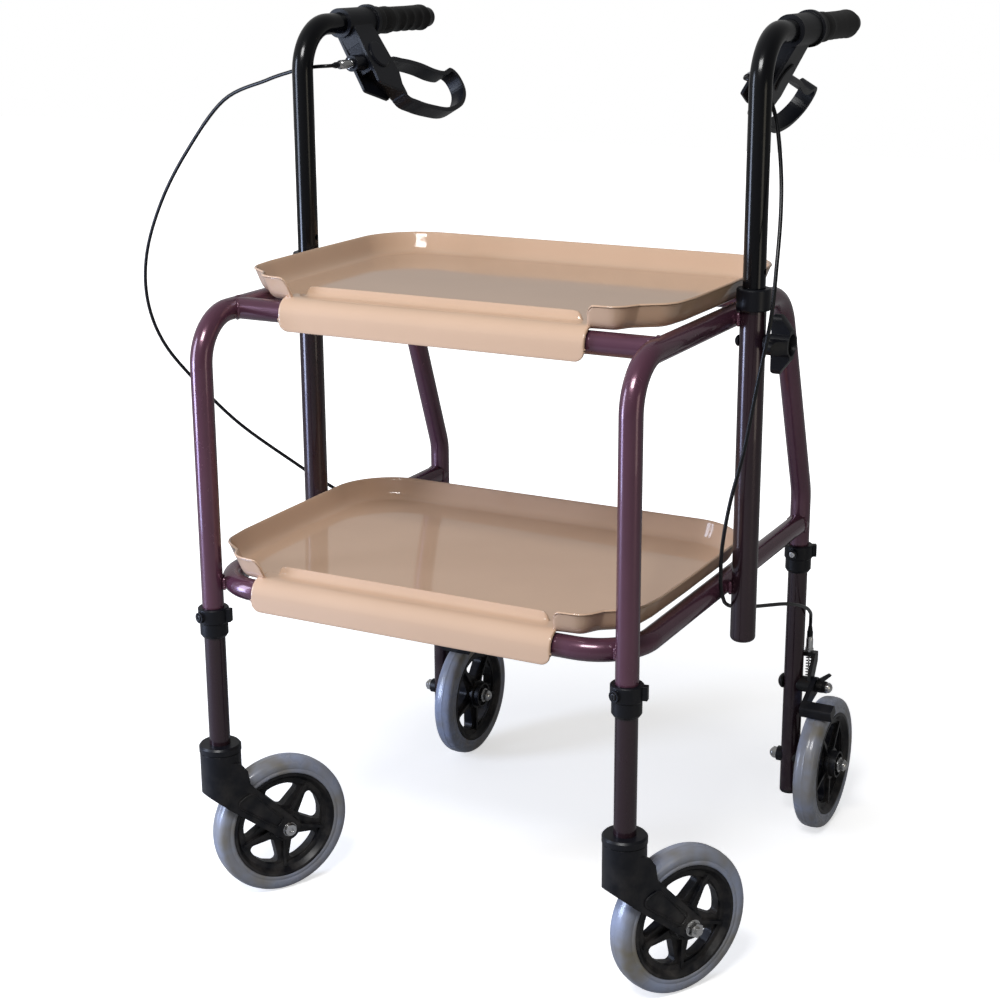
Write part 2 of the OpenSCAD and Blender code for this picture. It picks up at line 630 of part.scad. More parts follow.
// Drawing plane of a brake lever: x back along the grip, y down and inwards from its axis
module lever_plane(s) {
    placed() translate([s * upright_x, upright_y, grip_z]) rotate([0, 180 + s * lever_tilt, 0])
        rotate([90, 0, 90]) children();
}
lever_y = 45;
pivot = [98, lever_y];
module brake_housing(s) {
    color(black_col) lever_plane(s) difference() {
        union() {
            rotate([0, 90, 0]) translate([0, 0, 73]) cylinder(d = 31, h = 54);
            rotate([0, 90, 0]) translate([0, 0, 127]) cylinder(d = 36, h = 5.5);
            for (m = [0, 1]) mirror([0, 0, m]) translate([0, 0, lever_half + 0.3]) linear_extrude(3)
                rounded_poly([[82, 12], [79, lever_y + 28], [111, lever_y + 40], [118, lever_y + 22], [112, 12]], 4);
            translate([0, 0, -lever_half - 1]) linear_extrude(2 * lever_half + 2)
                polygon([[78, 10], [116, 10], [116, lever_y - 17], [78, lever_y - 17]]);
            translate([0, 0, -lever_half - 1]) linear_extrude(2 * lever_half + 2)
                polygon([[78, lever_y - 22], [84, lever_y - 22], [84, lever_y + 14], [80, lever_y + 14]]);
            translate([58, lever_y + 2, 0]) rotate([0, 90, 0]) cylinder(d = 17, h = 25);
            translate([pivot[0], pivot[1], -lever_half - 5]) cylinder(d = 8, h = 2 * lever_half + 10);
            for (m = [0, 1]) mirror([0, 0, m]) translate([pivot[0], pivot[1], lever_half + 3]) union() {
                cylinder(d = 30, h = 1.5);
                translate([0, 0, 1.5]) cylinder(d1 = 30, d2 = 27, h = 1);
            }
        }
        rotate([0, 90, 0]) translate([0, 0, 60]) cylinder(d = stem_d + 0.1, h = 90);
        translate([50, lever_y + 2, 0]) rotate([0, 90, 0]) cylinder(d = 6.3, h = 20);
    }
}
module brake_housing_left() { brake_housing(-1); }
module brake_housing_right() { brake_housing(1); }

// Loop lever: one wavy band round the finger opening, with its root on the pivot
loop = [for (p = [[122, 8], [150, 9], [180, 16], [204, 25], [224, 29], [240, 26], [249, 36], [246, 53],
    [226, 67], [195, 72], [165, 67], [138, 59], [119, 47]]) p + [0, lever_y]];
loop_curve = closed_curve(loop, 5);
function shifted(c, w) = let(n = len(c)) [for (i = [0:n - 1])
    c[i] + w * left_of(unit(c[(i + 1) % n] - c[(i + n - 1) % n]))];
module brake_lever(s) {
    color(black_col) lever_plane(s) difference() {
        translate([0, 0, -lever_half]) linear_extrude(2 * lever_half) union() {
            difference() {
                polygon(shifted(loop_curve, -2.5));
                polygon(shifted(loop_curve, 2.5));
            }
            translate(pivot) circle(r = 13);
            polygon([pivot + [0, -12.9], pivot + [24, 6], pivot + [25, 47], pivot + [19, 47], pivot + [-6, 11]]);
        }
        translate([pivot[0], pivot[1], -20]) cylinder(d = 8.1, h = 40);
    }
}
module brake_lever_left() { brake_lever(-1); }
module brake_lever_right() { brake_lever(1); }

// Barrel adjuster where the cable leaves the lever housing
module lever_adjuster(s) {
    color(steel_col) lever_plane(s) translate([30, lever_y + 2, 0]) rotate([0, 90, 0]) difference() {
        union() {
            cylinder(d1 = 6, d2 = 7.6, h = 6);
            translate([0, 0, 6]) cylinder(d = 9.5, h = 15);
            translate([0, 0, 20]) cylinder(d = 6.1, h = 16);
            translate([0, 0, 23]) cylinder(d = 11, h = 3.5, $fn = 6);
        }
        translate([0, 0, -1]) cylinder(d = cable_d + 0.9, h = 8);
    }
}
module lever_adjuster_left() { lever_adjuster(-1); }
module lever_adjuster_right() { lever_adjuster(1); }

// Trays: two-step wall round three sides, hooked over the bar in front
tray_low = tube_d / 2 + 0.1;
tray_half = leg_x - 4;
wall_out = 11;
floor_t = 3;
hook_r = tube_d / 2 + 0.4;
hook_o = hook_r + 5;
hook_half = 162;
edge_back = tray_depth - wall_out;
ridge_half = hook_half - 10;
ridge_z = hook_o + 9;
tray_shift = -3;
edge = [[166, 2], [tray_half - 30, 2], [tray_half, 42], [tray_half, edge_back], [-tray_half, edge_back],
    [-tray_half, 42], [30 - tray_half, 2], [-166, 2]];
edge_r = [0, 30, 30, 54, 54, 30, 30, 0];
edge_n = len(edge);
function edge_dir(i) = unit(edge[i + 1] - edge[i]);
function edge_in(i) = edge[i] - edge_dir(i - 1) * corner_cut(edge, edge_r, i);
function edge_out(i) = edge[i] + edge_dir(i) * corner_cut(edge, edge_r, i);
function edge_mid(i) = edge_in(i) + left_of(edge_dir(i - 1)) * edge_r[i];
function wall_points(r) = let(h = tray_wall, m = tray_wall / 2) [[r, 0], [r + 5.5, m - 1], [r + 8, m],
    [r + 11, h - 1.4], [r + 11, h], [r + 9.6, h], [r + 8.4, h - 1.4], [r + 5.6, m + 2], [r + 3.2, m + 1.2],
    [r, floor_t]];
module wall_run(i) {
    a = i == 0 ? edge[0] : edge_out(i);
    b = i == edge_n - 2 ? edge[edge_n - 1] : edge_in(i + 1);
    u = edge_dir(i);
    translate([b[0], b[1], 0]) rotate([0, 0, atan2(u[1], u[0]) - 90]) rotate([90, 0, 0])
        linear_extrude(norm(b - a)) polygon(wall_points(0));
}
module wall_turn(i) {
    section = concat([[0, 0]], wall_points(edge_r[i]), [[0, floor_t]]);
    c = edge_mid(i);
    from = -left_of(edge_dir(i - 1));
    to = -left_of(edge_dir(i));
    if (edge_r[i] > 50) translate([c[0], c[1], 0]) rotate([0, 0, atan2(from[1], from[0])])
        rotate_extrude(angle = 90) polygon(section);
    else translate([c[0], c[1], 0]) intersection() {
        rotate([0, 0, 90]) rotate_extrude() polygon(section);
        translate([0, 0, -1]) linear_extrude(tray_wall + 2) wedge(from, to);
    }
}
dip = [for (k = [0:10]) let(t = k / 10)
    [165 + 20 * t, floor_t + 0.4 + (tray_wall - floor_t) * (3 * t * t - 2 * t * t * t)]];
module tray_pan() {
    difference() {
        union() {
            linear_extrude(floor_t) polygon(concat([edge[0]],
                [for (i = [1:edge_n - 2]) each [edge_in(i), edge_mid(i), edge_out(i)]], [edge[edge_n - 1]]));
            for (i = [0:edge_n - 2]) wall_run(i);
            for (i = [1:edge_n - 2]) wall_turn(i);
        }
        for (m = [0, 1]) mirror([m, 0, 0]) translate([0, 30, 0]) rotate([90, 0, 0]) linear_extrude(60)
            polygon(concat([[150, floor_t + 0.4]], dip, [[185, tray_wall + 5], [150, tray_wall + 5]]));
    }
}
module hook_section() {
    difference() {
        union() {
            intersection() {
                circle(r = hook_o);
                translate([-30, 0]) square([30, 30]);
            }
            translate([-hook_o, -hook_r - 4]) square([hook_o, hook_r + 4]);
            polygon([[0, 0], [0, hook_o], [10, hook_o], [12, hook_o - 0.5], [16, tray_low + floor_t],
                [16, tray_low + 1], [2, tray_low + 1], [2, 0]]);
        }
        circle(r = hook_r);
        translate([-hook_r, -40]) square([60, 40]);
        translate([1.5, -1]) square([60, tray_low + 1]);
    }
}
module tray() {
    translate([0, 0, tray_low]) tray_pan();
    intersection() {
        along_x(-hook_half, 2 * hook_half) hook_section();
        translate([0, 40, 0]) rotate([90, 0, 0]) linear_extrude(80)
            rounded_poly([[-hook_half + 10, -hook_r + 6], [hook_half - 10, -hook_r + 6],
                [hook_half - 10, 20], [-hook_half + 10, 20]], 10);
    }
    intersection() {
        along_x(-ridge_half, 2 * ridge_half) polygon([[8, hook_o - 1.5], [14, tray_low + 2],
            [15, hook_o + 2], [14.4, ridge_z], [12.4, ridge_z], [11, hook_o + 2]]);
        translate([0, 40, 0]) rotate([90, 0, 0]) linear_extrude(80)
            rounded_poly([[-ridge_half + 6, tray_low], [ridge_half - 6, tray_low],
                [ridge_half - 6, ridge_z - 6], [-ridge_half + 6, ridge_z - 6]], 6);
    }
}
module upper_tray() { color(tray_col) placed() translate([0, bar_y, rail_z]) tray(); }
module lower_tray() { color(tray_col) placed() translate([tray_shift, 0, lower_z]) tray(); }

// Brake cables: from the lever housing out round the upright and down to the rear brake
function lever_point(s, x, y) = [s * (upright_x - sin(lever_tilt) * y), upright_y + x,
    grip_z - cos(lever_tilt) * y];
function foot(s) = [s * leg_x + brake_dx, rear_y + brake_dy, seat_z];
function near(s, d) = [s * upright_x, upright_y, 0] + d;
left_points = concat(
    [lever_point(-1, 35, lever_y + 2), lever_point(-1, 27, lever_y + 2), lever_point(-1, 21, lever_y - 2)],
    [near(-1, [-2, 18, grip_z - 43]), near(-1, [-25, 18, grip_z - 48]), near(-1, [-60, 20, grip_z - 58]),
     near(-1, [-120, 25, grip_z - 81]), near(-1, [-178, 33, 750]), near(-1, [-224, 41, 690]),
     near(-1, [-258, 52, 626]), near(-1, [-269, 63, 568]), near(-1, [-258, 76, 516]),
     near(-1, [-226, 96, 466]), near(-1, [-186, 118, 418]), near(-1, [-134, 150, 370]),
     near(-1, [-96, 180, 334])],
    [foot(-1) + [-74, -30, 96], foot(-1) + [-38, -1, 74], foot(-1) + [-14, 5, 56], foot(-1) + [-2, 2, 40],
     foot(-1) + [0, 0, 28], foot(-1) + [0, 0, 18.5]]);
right_points = concat(
    [lever_point(1, 35, lever_y + 2), lever_point(1, 27, lever_y + 2), lever_point(1, 21, lever_y - 2)],
    [near(1, [0, 18, grip_z - 54]), near(1, [11, 17, grip_z - 84]), near(1, [20, 8, grip_z - 126]),
     near(1, [26, -6, 724]), near(1, [31, -26, 682]), near(1, [32, -40, 632]), near(1, [21, -42, 566]),
     near(1, [10, -40, 505]), near(1, [-2, -40, lower_z + 98]), near(1, [-8, -39, lower_z + 50]),
     near(1, [-9, -36, lower_z + 10]), near(1, [-12, -24, lower_z - 14]), near(1, [-18, -2, lower_z - 27]),
     near(1, [-18, 35, lower_z - 35]), near(1, [-15, 80, lower_z - 48])],
    [foot(1) + [5, -98, 93], foot(1) + [8, -48, 74], foot(1) + [5, -18, 58], foot(1) + [1, -3, 46],
     foot(1) + [0, 0, 30], foot(1) + [0, 0, 18.5]]);
module brake_cable_left() { color(black_col) placed() swept_tube(open_curve(left_points, 2), cable_d / 2, 8); }
module brake_cable_right() { color(black_col) placed() swept_tube(open_curve(right_points, 2), cable_d / 2, 8); }

side_frame_left();
side_frame_right();
front_crossbar();
rear_crossbar();
lower_frame();
upright_left();
upright_right();
upright_collar_left();
upright_collar_right();
clamp_knob_left();
clamp_knob_right();
clamp_rivet_left();
clamp_rivet_right();
front_leg_left();
front_leg_right();
rear_leg_left();
rear_leg_right();
front_leg_collar_left();
front_leg_collar_right();
rear_leg_collar_left();
rear_leg_collar_right();
caster_fork_left();
caster_fork_right();
front_axle_left();
front_axle_right();
front_rim_left();
front_rim_right();
front_tyre_left();
front_tyre_right();
rear_axle_left();
rear_axle_right();
rear_spacer_left();
rear_spacer_right();
rear_rim_left();
rear_rim_right();
rear_tyre_left();
rear_tyre_right();
brake_bracket_left();
brake_bracket_right();
brake_arm_left();
brake_arm_right();
brake_spring_left();
brake_spring_right();
brake_adjuster_left();
brake_adjuster_right();
handle_stem_left();
handle_stem_right();
handle_grip_left();
handle_grip_right();
brake_housing_left();
brake_housing_right();
brake_lever_left();
brake_lever_right();
lever_adjuster_left();
lever_adjuster_right();
upper_tray();
lower_tray();
brake_cable_left();
brake_cable_right();
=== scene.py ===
# %% [markdown]
# # An indoor walker with two lift-off trays
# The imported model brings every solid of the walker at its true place. This lesson dresses it: first
# the camera and the two brake cables, then the finishes, then the pieces that need a fuller shape than
# their solids have. Lengths are metres and +Z is up, as in the frame.

# %% Load the frame
import json
import math

import bpy
from mathutils import Matrix, Vector


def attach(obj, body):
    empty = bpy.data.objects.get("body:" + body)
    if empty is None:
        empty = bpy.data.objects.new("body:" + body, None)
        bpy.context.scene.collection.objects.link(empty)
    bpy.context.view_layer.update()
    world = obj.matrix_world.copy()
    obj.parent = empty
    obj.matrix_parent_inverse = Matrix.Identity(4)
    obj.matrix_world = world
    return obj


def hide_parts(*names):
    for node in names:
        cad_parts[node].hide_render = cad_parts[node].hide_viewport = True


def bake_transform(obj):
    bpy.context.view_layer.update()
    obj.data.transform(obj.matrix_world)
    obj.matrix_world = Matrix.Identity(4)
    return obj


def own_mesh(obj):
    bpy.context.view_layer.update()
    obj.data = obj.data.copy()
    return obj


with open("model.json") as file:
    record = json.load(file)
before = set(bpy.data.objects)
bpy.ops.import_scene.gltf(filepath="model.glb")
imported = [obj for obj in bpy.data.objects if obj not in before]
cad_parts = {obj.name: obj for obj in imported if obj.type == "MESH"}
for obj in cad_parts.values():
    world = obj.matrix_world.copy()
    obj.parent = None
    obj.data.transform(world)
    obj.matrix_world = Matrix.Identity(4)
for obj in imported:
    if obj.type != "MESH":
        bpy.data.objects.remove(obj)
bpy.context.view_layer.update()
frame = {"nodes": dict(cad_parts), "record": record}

# %% [markdown]
# ## Where things are
# The solids were drawn in millimetres from the middle of the front legs on the floor, and then moved
# to stand over the middle of their box. One small function repeats that move, so every place in this
# file can be read in the drawing's own millimetres.

# %% Places in drawing millimetres
BOX_MIDDLE = (2.14, 259.2)
SIDES = {"left": -1, "right": 1}
LEG_X = 228.0
UPRIGHT_X = 251.9
UPRIGHT_Y = 230.0
REAR_Y = 465.0
GRIP_Z = 888.0
LOWER_Z = 354.0
RAIL_Z = 624.0
BAR_Y = 61.0
TUBE_R = 11.0
LEVER_TILT = math.radians(30)
BRAKE_OFF = 13.0
BRAKE_SEAT_Z = 195.0


def at(x, y, z):
    return Vector(((x - BOX_MIDDLE[0]) / 1000, (y - BOX_MIDDLE[1]) / 1000, z / 1000))


print("left leg stands at", tuple(round(c, 4) for c in at(-LEG_X, 0, 0)))

# %% [markdown]
# ## The camera
# The picture was taken from the front, a little to the right and above the handles. The angles and the
# lens were fitted to the straight tubes of the walker, so the render can be laid over the picture. The
# camera's axes are built from the two angles and a slight roll.

# %% Camera
AZIMUTH, ELEVATION, ROLL = (math.radians(a) for a in (27.86, 16.34, -0.29))
VIEW_POINT = at(874.1, -1465.5, 970.0)
SENSOR = 36.0
FOCAL_PIXELS, PICTURE_PIXELS = 1902.6, 1000
backward = Vector((math.sin(AZIMUTH) * math.cos(ELEVATION),
                   -math.cos(AZIMUTH) * math.cos(ELEVATION), math.sin(ELEVATION)))
level_right = Vector((math.cos(AZIMUTH), math.sin(AZIMUTH), 0))
level_up = backward.cross(level_right)
right = level_right * math.cos(ROLL) + level_up * math.sin(ROLL)
upward = level_up * math.cos(ROLL) - level_right * math.sin(ROLL)
camera_data = bpy.data.cameras.new("camera")
camera_data.sensor_width = SENSOR
camera_data.lens = SENSOR * FOCAL_PIXELS / PICTURE_PIXELS
camera = bpy.data.objects.new("camera", camera_data)
turn = Matrix((right, upward, backward)).transposed()
camera.matrix_world = Matrix.Translation(VIEW_POINT) @ turn.to_4x4()
bpy.context.scene.collection.objects.link(camera)
bpy.context.scene.camera = camera
print("camera lens", round(camera_data.lens, 1), "mm")

# %% [markdown]
# ## Helpers for modelling by hand
# Operators act on whatever is selected, and the frame arrives selected, so each new piece starts from
# an empty selection. `start` adds a primitive and names it, `put` gives it a body to ride on and hides
# the solids it stands for.

# %% Modelling helpers
def deselect():
    if bpy.context.object and bpy.context.object.mode != "OBJECT":
        bpy.ops.object.mode_set(mode="OBJECT")
    bpy.ops.object.select_all(action="DESELECT")


def start(add, name, **size):
    deselect()
    add(**size)
    piece = bpy.context.object
    piece.name = name
    piece.data.name = name
    return piece


def activate(piece):
    deselect()
    piece.select_set(True)
    bpy.context.view_layer.objects.active = piece


def settle(piece):
    activate(piece)
    bpy.ops.object.transform_apply(location=True, rotation=True, scale=True)


def apply_all(piece):
    activate(piece)
    for name in [m.name for m in piece.modifiers]:
        bpy.ops.object.modifier_apply(modifier=name)


def smooth(piece, angle=35):
    activate(piece)
    bpy.ops.object.shade_smooth_by_angle(angle=math.radians(angle))


def outward(piece):
    activate(piece)
    bpy.ops.object.mode_set(mode="EDIT")
    bpy.ops.mesh.select_all(action="SELECT")
    bpy.ops.mesh.remove_doubles(threshold=0.00001)
    bpy.ops.mesh.normals_make_consistent(inside=False)
    bpy.ops.object.mode_set(mode="OBJECT")


def put(piece, body, slot, *nodes):
    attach(piece, body)
    if nodes:
        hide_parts(*nodes)


print("helpers ready")

# %% [markdown]
# ## Brake cables
# Each cable is a 4 mm sheathed wire that leaves the barrel adjuster under the grip, hangs free round
# the upright and ends in the adjuster of the rear brake. Both ends are seen in the picture, so its
# length is the length of its route. The route is one smooth curve through the points of the drawing,
# with the bend at the lever and the right cable's lowest bend made rounder, and it is turned into a
# tube. Its upper part follows the sliding handle and its lower part the frame.

# %% Cable routes
def lever_point(s, x, y):
    return (s * (UPRIGHT_X - math.sin(LEVER_TILT) * y), UPRIGHT_Y + x, GRIP_Z - math.cos(LEVER_TILT) * y)


def by_upright(s, x, y, z):
    return (s * UPRIGHT_X + x, UPRIGHT_Y + y, z)


def by_brake(s, x, y, z):
    return (s * LEG_X + BRAKE_OFF + x, REAR_Y + BRAKE_OFF + y, BRAKE_SEAT_Z + z)


LEFT_UPPER = [(22.4, 18.5, 847.2), (19.5, 15.6, 847), (15.5, 14.5, 846.8), (5.9, 14.5, 846),
              (-8.1, 15.5, 844), (-28, 17, 839.5), (-60, 20, 830), (-120, 25, 807), (-178, 33, 750),
              (-224, 41, 690), (-258, 52, 626), (-269, 63, 568), (-258, 76, 516), (-226, 96, 466),
              (-186, 118, 418), (-134, 150, 370), (-96, 180, 334)]
LEFT_LOWER = [(-74, -30, 96), (-38, -1, 74), (-14, 5, 56), (-2, 2, 40), (0, 0, 28), (0, 0, 18.5)]
RIGHT_UPPER = [(-22.4, 18.5, 847), (-19.5, 15.6, 846.6), (-15.5, 14.5, 845.6), (-6.9, 15.2, 842),
               (0.6, 16.5, 834), (6.1, 17.3, 822), (12, 16.5, 802), (20, 8, 762), (26, -6, 724),
               (31, -26, 682), (32, -40, 632), (21, -42, 566), (10, -40, 505), (-2, -41, 452),
               (-8, -43, 408), (-9, -42.5, 376), (-9, -40, 362), (-9.5, -32, 350), (-14, -14, 339),
               (-17, 10, 328), (-17.5, 40, 318), (-15, 80, 306)]
RIGHT_LOWER = [(5, -98, 93), (8, -48, 74), (5, -18, 58), (1, -3, 46), (0, 0, 30), (0, 0, 18.5)]
CABLE_D = 0.004
LEVER_CABLE_Y = 47.0
LEVER_EXIT = (35.0, 28.5, 22.5)
STEPS_PER_POINT = 8


def cable_route(s, upper, lower):
    points = [lever_point(s, x, LEVER_CABLE_Y) for x in LEVER_EXIT]
    points += [by_upright(s, *p) for p in upper] + [by_brake(s, *p) for p in lower]
    return [at(*p) for p in points]


def through(points, steps):
    # A smooth cubic curve through all the points, as the drawing uses
    ends = [points[0] * 2 - points[1]] + points + [points[-1] * 2 - points[-2]]
    line = []
    for i in range(1, len(ends) - 2):
        a, b, c, d = ends[i - 1:i + 3]
        for j in range(steps):
            t = j / steps
            line.append(0.5 * (2 * b + (c - a) * t + (2 * a - 5 * b + 4 * c - d) * t * t
                               + (3 * b - 3 * c + d - a) * t * t * t))
    return line + [points[-1]]


def tube_along(name, line, radius):
    data = bpy.data.curves.new(name, "CURVE")
    data.dimensions = "3D"
    spline = data.splines.new("POLY")
    spline.points.add(len(line) - 1)
    for point, place in zip(spline.points, line):
        point.co = (*place, 1)
    data.bevel_depth = radius
    data.bevel_resolution = 3
    data.use_fill_caps = True
    piece = bpy.data.objects.new(name, data)
    bpy.context.scene.collection.objects.link(piece)
    activate(piece)
    bpy.ops.object.convert(target="MESH")
    piece = bpy.context.object
    piece.name = name
    return piece


def route_length(line):
    return sum((b - a).length for a, b in zip(line, line[1:]))


cables = {}
for side, upper, lower in (("left", LEFT_UPPER, LEFT_LOWER), ("right", RIGHT_UPPER, RIGHT_LOWER)):
    line = through(cable_route(SIDES[side], upper, lower), STEPS_PER_POINT)
    cable = tube_along("cable_" + side, line, CABLE_D / 2)
    smooth(cable, 60)
    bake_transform(cable)
    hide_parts("brake_cable_" + side)
    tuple(line[0])
    route_length(line)
    cables[side] = cable
    print(cable.name, "length", round(route_length(line), 3), "m")

# %% [markdown]
# ## Node helpers
# Shader trees take many small steps. These helpers add a node with its settings, wire sockets together,
# map a value to a new range, mix two colours and multiply two values.

# %% Node helpers
def new_group(name, inputs, outputs):
    tree = bpy.data.node_groups.new(name, "ShaderNodeTree")
    for label, kind, value in inputs:
        socket = tree.interface.new_socket(label, in_out="INPUT", socket_type=kind)
        socket.default_value = value
    for label, kind in outputs:
        tree.interface.new_socket(label, in_out="OUTPUT", socket_type=kind)
    return tree, tree.nodes.new("NodeGroupInput"), tree.nodes.new("NodeGroupOutput")


def add_node(tree, kind, values=(), **settings):
    item = tree.nodes.new(kind)
    for key, value in settings.items():
        setattr(item, key, value)
    for key, value in dict(values).items():
        item.inputs[key].default_value = value
    return item


def wire(tree, *pairs):
    for source, target in pairs:
        tree.links.new(source, target)


def ranged(tree, source, low, high, out_low=0.0, out_high=1.0):
    item = add_node(tree, "ShaderNodeMapRange", {1: low, 2: high, 3: out_low, 4: out_high})
    wire(tree, (source, item.inputs[0]))
    return item.outputs[0]


def blend_colours(tree, mask, first, second):
    item = add_node(tree, "ShaderNodeMix", data_type="RGBA")
    wire(tree, (mask, item.inputs[0]), (first, item.inputs[6]), (second, item.inputs[7]))
    return item.outputs[2]


def multiply(tree, first, second):
    item = add_node(tree, "ShaderNodeMath", operation="MULTIPLY")
    wire(tree, (first, item.inputs[0]), (second, item.inputs[1]))
    return item.outputs[0]


print("node helpers ready")

# %% [markdown]
# ## Shared effects
# Four small node groups serve all the finishes. `tone_drift` lets a colour wander between two tones,
# `fine_grain` gives the height of a moulded or sprayed surface, `rub_marks` gives a mask of thin
# scratches, and `floor_dust` gives a mask that grows towards the floor.

# %% Node groups
def tone_drift_group():
    tree, took, gave = new_group("tone_drift", [
        ("Tone", "NodeSocketColor", (1, 1, 1, 1)), ("Second tone", "NodeSocketColor", (0, 0, 0, 1)),
        ("Scale", "NodeSocketFloat", 12.0)], [("Colour", "NodeSocketColor"), ("Mask", "NodeSocketFloat")])
    place = add_node(tree, "ShaderNodeTexCoord")
    cloud = add_node(tree, "ShaderNodeTexNoise", {"Detail": 3.0, "Roughness": 0.6})
    wire(tree, (place.outputs["Object"], cloud.inputs["Vector"]),
         (took.outputs["Scale"], cloud.inputs["Scale"]))
    mask = ranged(tree, cloud.outputs["Fac"], 0.35, 0.68)
    colour = blend_colours(tree, mask, took.outputs["Tone"], took.outputs["Second tone"])
    wire(tree, (colour, gave.inputs["Colour"]), (mask, gave.inputs["Mask"]))
    return tree


def fine_grain_group():
    tree, took, gave = new_group("fine_grain", [("Scale", "NodeSocketFloat", 900.0)],
                                 [("Height", "NodeSocketFloat")])
    place = add_node(tree, "ShaderNodeTexCoord")
    cells = add_node(tree, "ShaderNodeTexVoronoi", feature="SMOOTH_F1")
    soft = add_node(tree, "ShaderNodeTexNoise", {"Detail": 2.0})
    for texture in (cells, soft):
        wire(tree, (place.outputs["Object"], texture.inputs["Vector"]),
             (took.outputs["Scale"], texture.inputs["Scale"]))
    wire(tree, (multiply(tree, cells.outputs["Distance"], soft.outputs["Fac"]), gave.inputs["Height"]))
    return tree


def rub_marks_group():
    tree, took, gave = new_group("rub_marks", [("Scale", "NodeSocketFloat", 30.0)],
                                 [("Mask", "NodeSocketFloat")])
    place = add_node(tree, "ShaderNodeTexCoord")
    stretch = add_node(tree, "ShaderNodeMapping", {"Rotation": (0.5, 0.3, 0.9), "Scale": (1.0, 9.0, 1.6)})
    lines = add_node(tree, "ShaderNodeTexNoise", {"Detail": 4.0, "Roughness": 0.7, "Distortion": 0.6})
    patches = add_node(tree, "ShaderNodeTexNoise", {"Scale": 7.0, "Detail": 1.0})
    wire(tree, (place.outputs["Object"], stretch.inputs["Vector"]),
         (stretch.outputs["Vector"], lines.inputs["Vector"]), (took.outputs["Scale"], lines.inputs["Scale"]),
         (place.outputs["Object"], patches.inputs["Vector"]))
    thin = ranged(tree, lines.outputs["Fac"], 0.63, 0.7)
    where = ranged(tree, patches.outputs["Fac"], 0.48, 0.62)
    wire(tree, (multiply(tree, thin, where), gave.inputs["Mask"]))
    return tree


def floor_dust_group():
    tree, took, gave = new_group("floor_dust", [("Reach", "NodeSocketFloat", 0.25)],
                                 [("Mask", "NodeSocketFloat")])
    place = add_node(tree, "ShaderNodeTexCoord")
    axes = add_node(tree, "ShaderNodeSeparateXYZ")
    cloud = add_node(tree, "ShaderNodeTexNoise", {"Scale": 60.0, "Detail": 4.0})
    share = add_node(tree, "ShaderNodeMath", operation="DIVIDE")
    wire(tree, (place.outputs["Object"], axes.inputs[0]), (place.outputs["Object"], cloud.inputs["Vector"]),
         (axes.outputs["Z"], share.inputs[0]), (took.outputs["Reach"], share.inputs[1]))
    near_floor = ranged(tree, share.outputs[0], 1.0, 0.0)
    blotch = ranged(tree, cloud.outputs["Fac"], 0.4, 0.75)
    wire(tree, (multiply(tree, near_floor, blotch), gave.inputs["Mask"]))
    return tree


EFFECTS = {g.name: g for g in (tone_drift_group(), fine_grain_group(), rub_marks_group(), floor_dust_group())}
print("groups:", sorted(EFFECTS))

# %% [markdown]
# ## Finishes
# Every finish starts from the same chain: a drifting colour, a little dust and a few rub marks, a
# roughness that follows the drift, and a fine bump. A bevel node rounds the sharp edges of the solids
# by a fraction of a millimetre, so that they catch the light as moulded and drawn edges do.

# %% Finish builder
DUST = (0.32, 0.29, 0.26, 1)


def place_effect(tree, name, **values):
    item = tree.nodes.new("ShaderNodeGroup")
    item.node_tree = EFFECTS[name]
    for key, value in values.items():
        item.inputs[key.replace("_", " ")].default_value = value
    return item


def finish(name, tone, second, drift=9.0, rough=(0.3, 0.4), grain=900.0, height=0.00004, marks=40.0,
           mark_share=0.25, dust_reach=0.2, dust_share=0.2, edge=0.0006, **constants):
    made = bpy.data.materials.new(name)
    made.use_nodes = True
    tree = made.node_tree
    shader = tree.nodes["Principled BSDF"]
    drifted = place_effect(tree, "tone_drift", Tone=(*tone, 1), Second_tone=(*second, 1), Scale=drift)
    rubbed = place_effect(tree, "rub_marks", Scale=marks)
    dusty = place_effect(tree, "floor_dust", Reach=dust_reach)
    grained = place_effect(tree, "fine_grain", Scale=grain)
    dust_mask = ranged(tree, dusty.outputs["Mask"], 0.0, 1.0, 0.0, dust_share)
    pale = add_node(tree, "ShaderNodeMix", data_type="RGBA")
    pale.inputs[7].default_value = DUST
    wire(tree, (dust_mask, pale.inputs[0]), (drifted.outputs["Colour"], pale.inputs[6]),
         (pale.outputs[2], shader.inputs["Base Color"]))
    base_rough = ranged(tree, drifted.outputs["Mask"], 0.0, 1.0, *rough)
    marked = ranged(tree, rubbed.outputs["Mask"], 0.0, 1.0, 0.0, mark_share)
    total = add_node(tree, "ShaderNodeMath", operation="ADD", use_clamp=True)
    wire(tree, (base_rough, total.inputs[0]), (marked, total.inputs[1]),
         (total.outputs[0], shader.inputs["Roughness"]))
    bump = add_node(tree, "ShaderNodeBump", {"Strength": 0.6, "Distance": height})
    soft_edge = add_node(tree, "ShaderNodeBevel", {"Radius": edge}, samples=4)
    wire(tree, (grained.outputs["Height"], bump.inputs["Height"]),
         (soft_edge.outputs["Normal"], bump.inputs["Normal"]),
         (bump.outputs["Normal"], shader.inputs["Normal"]))
    for key, value in constants.items():
        shader.inputs[key.replace("_", " ")].default_value = value
    return made


print("finish builder ready")
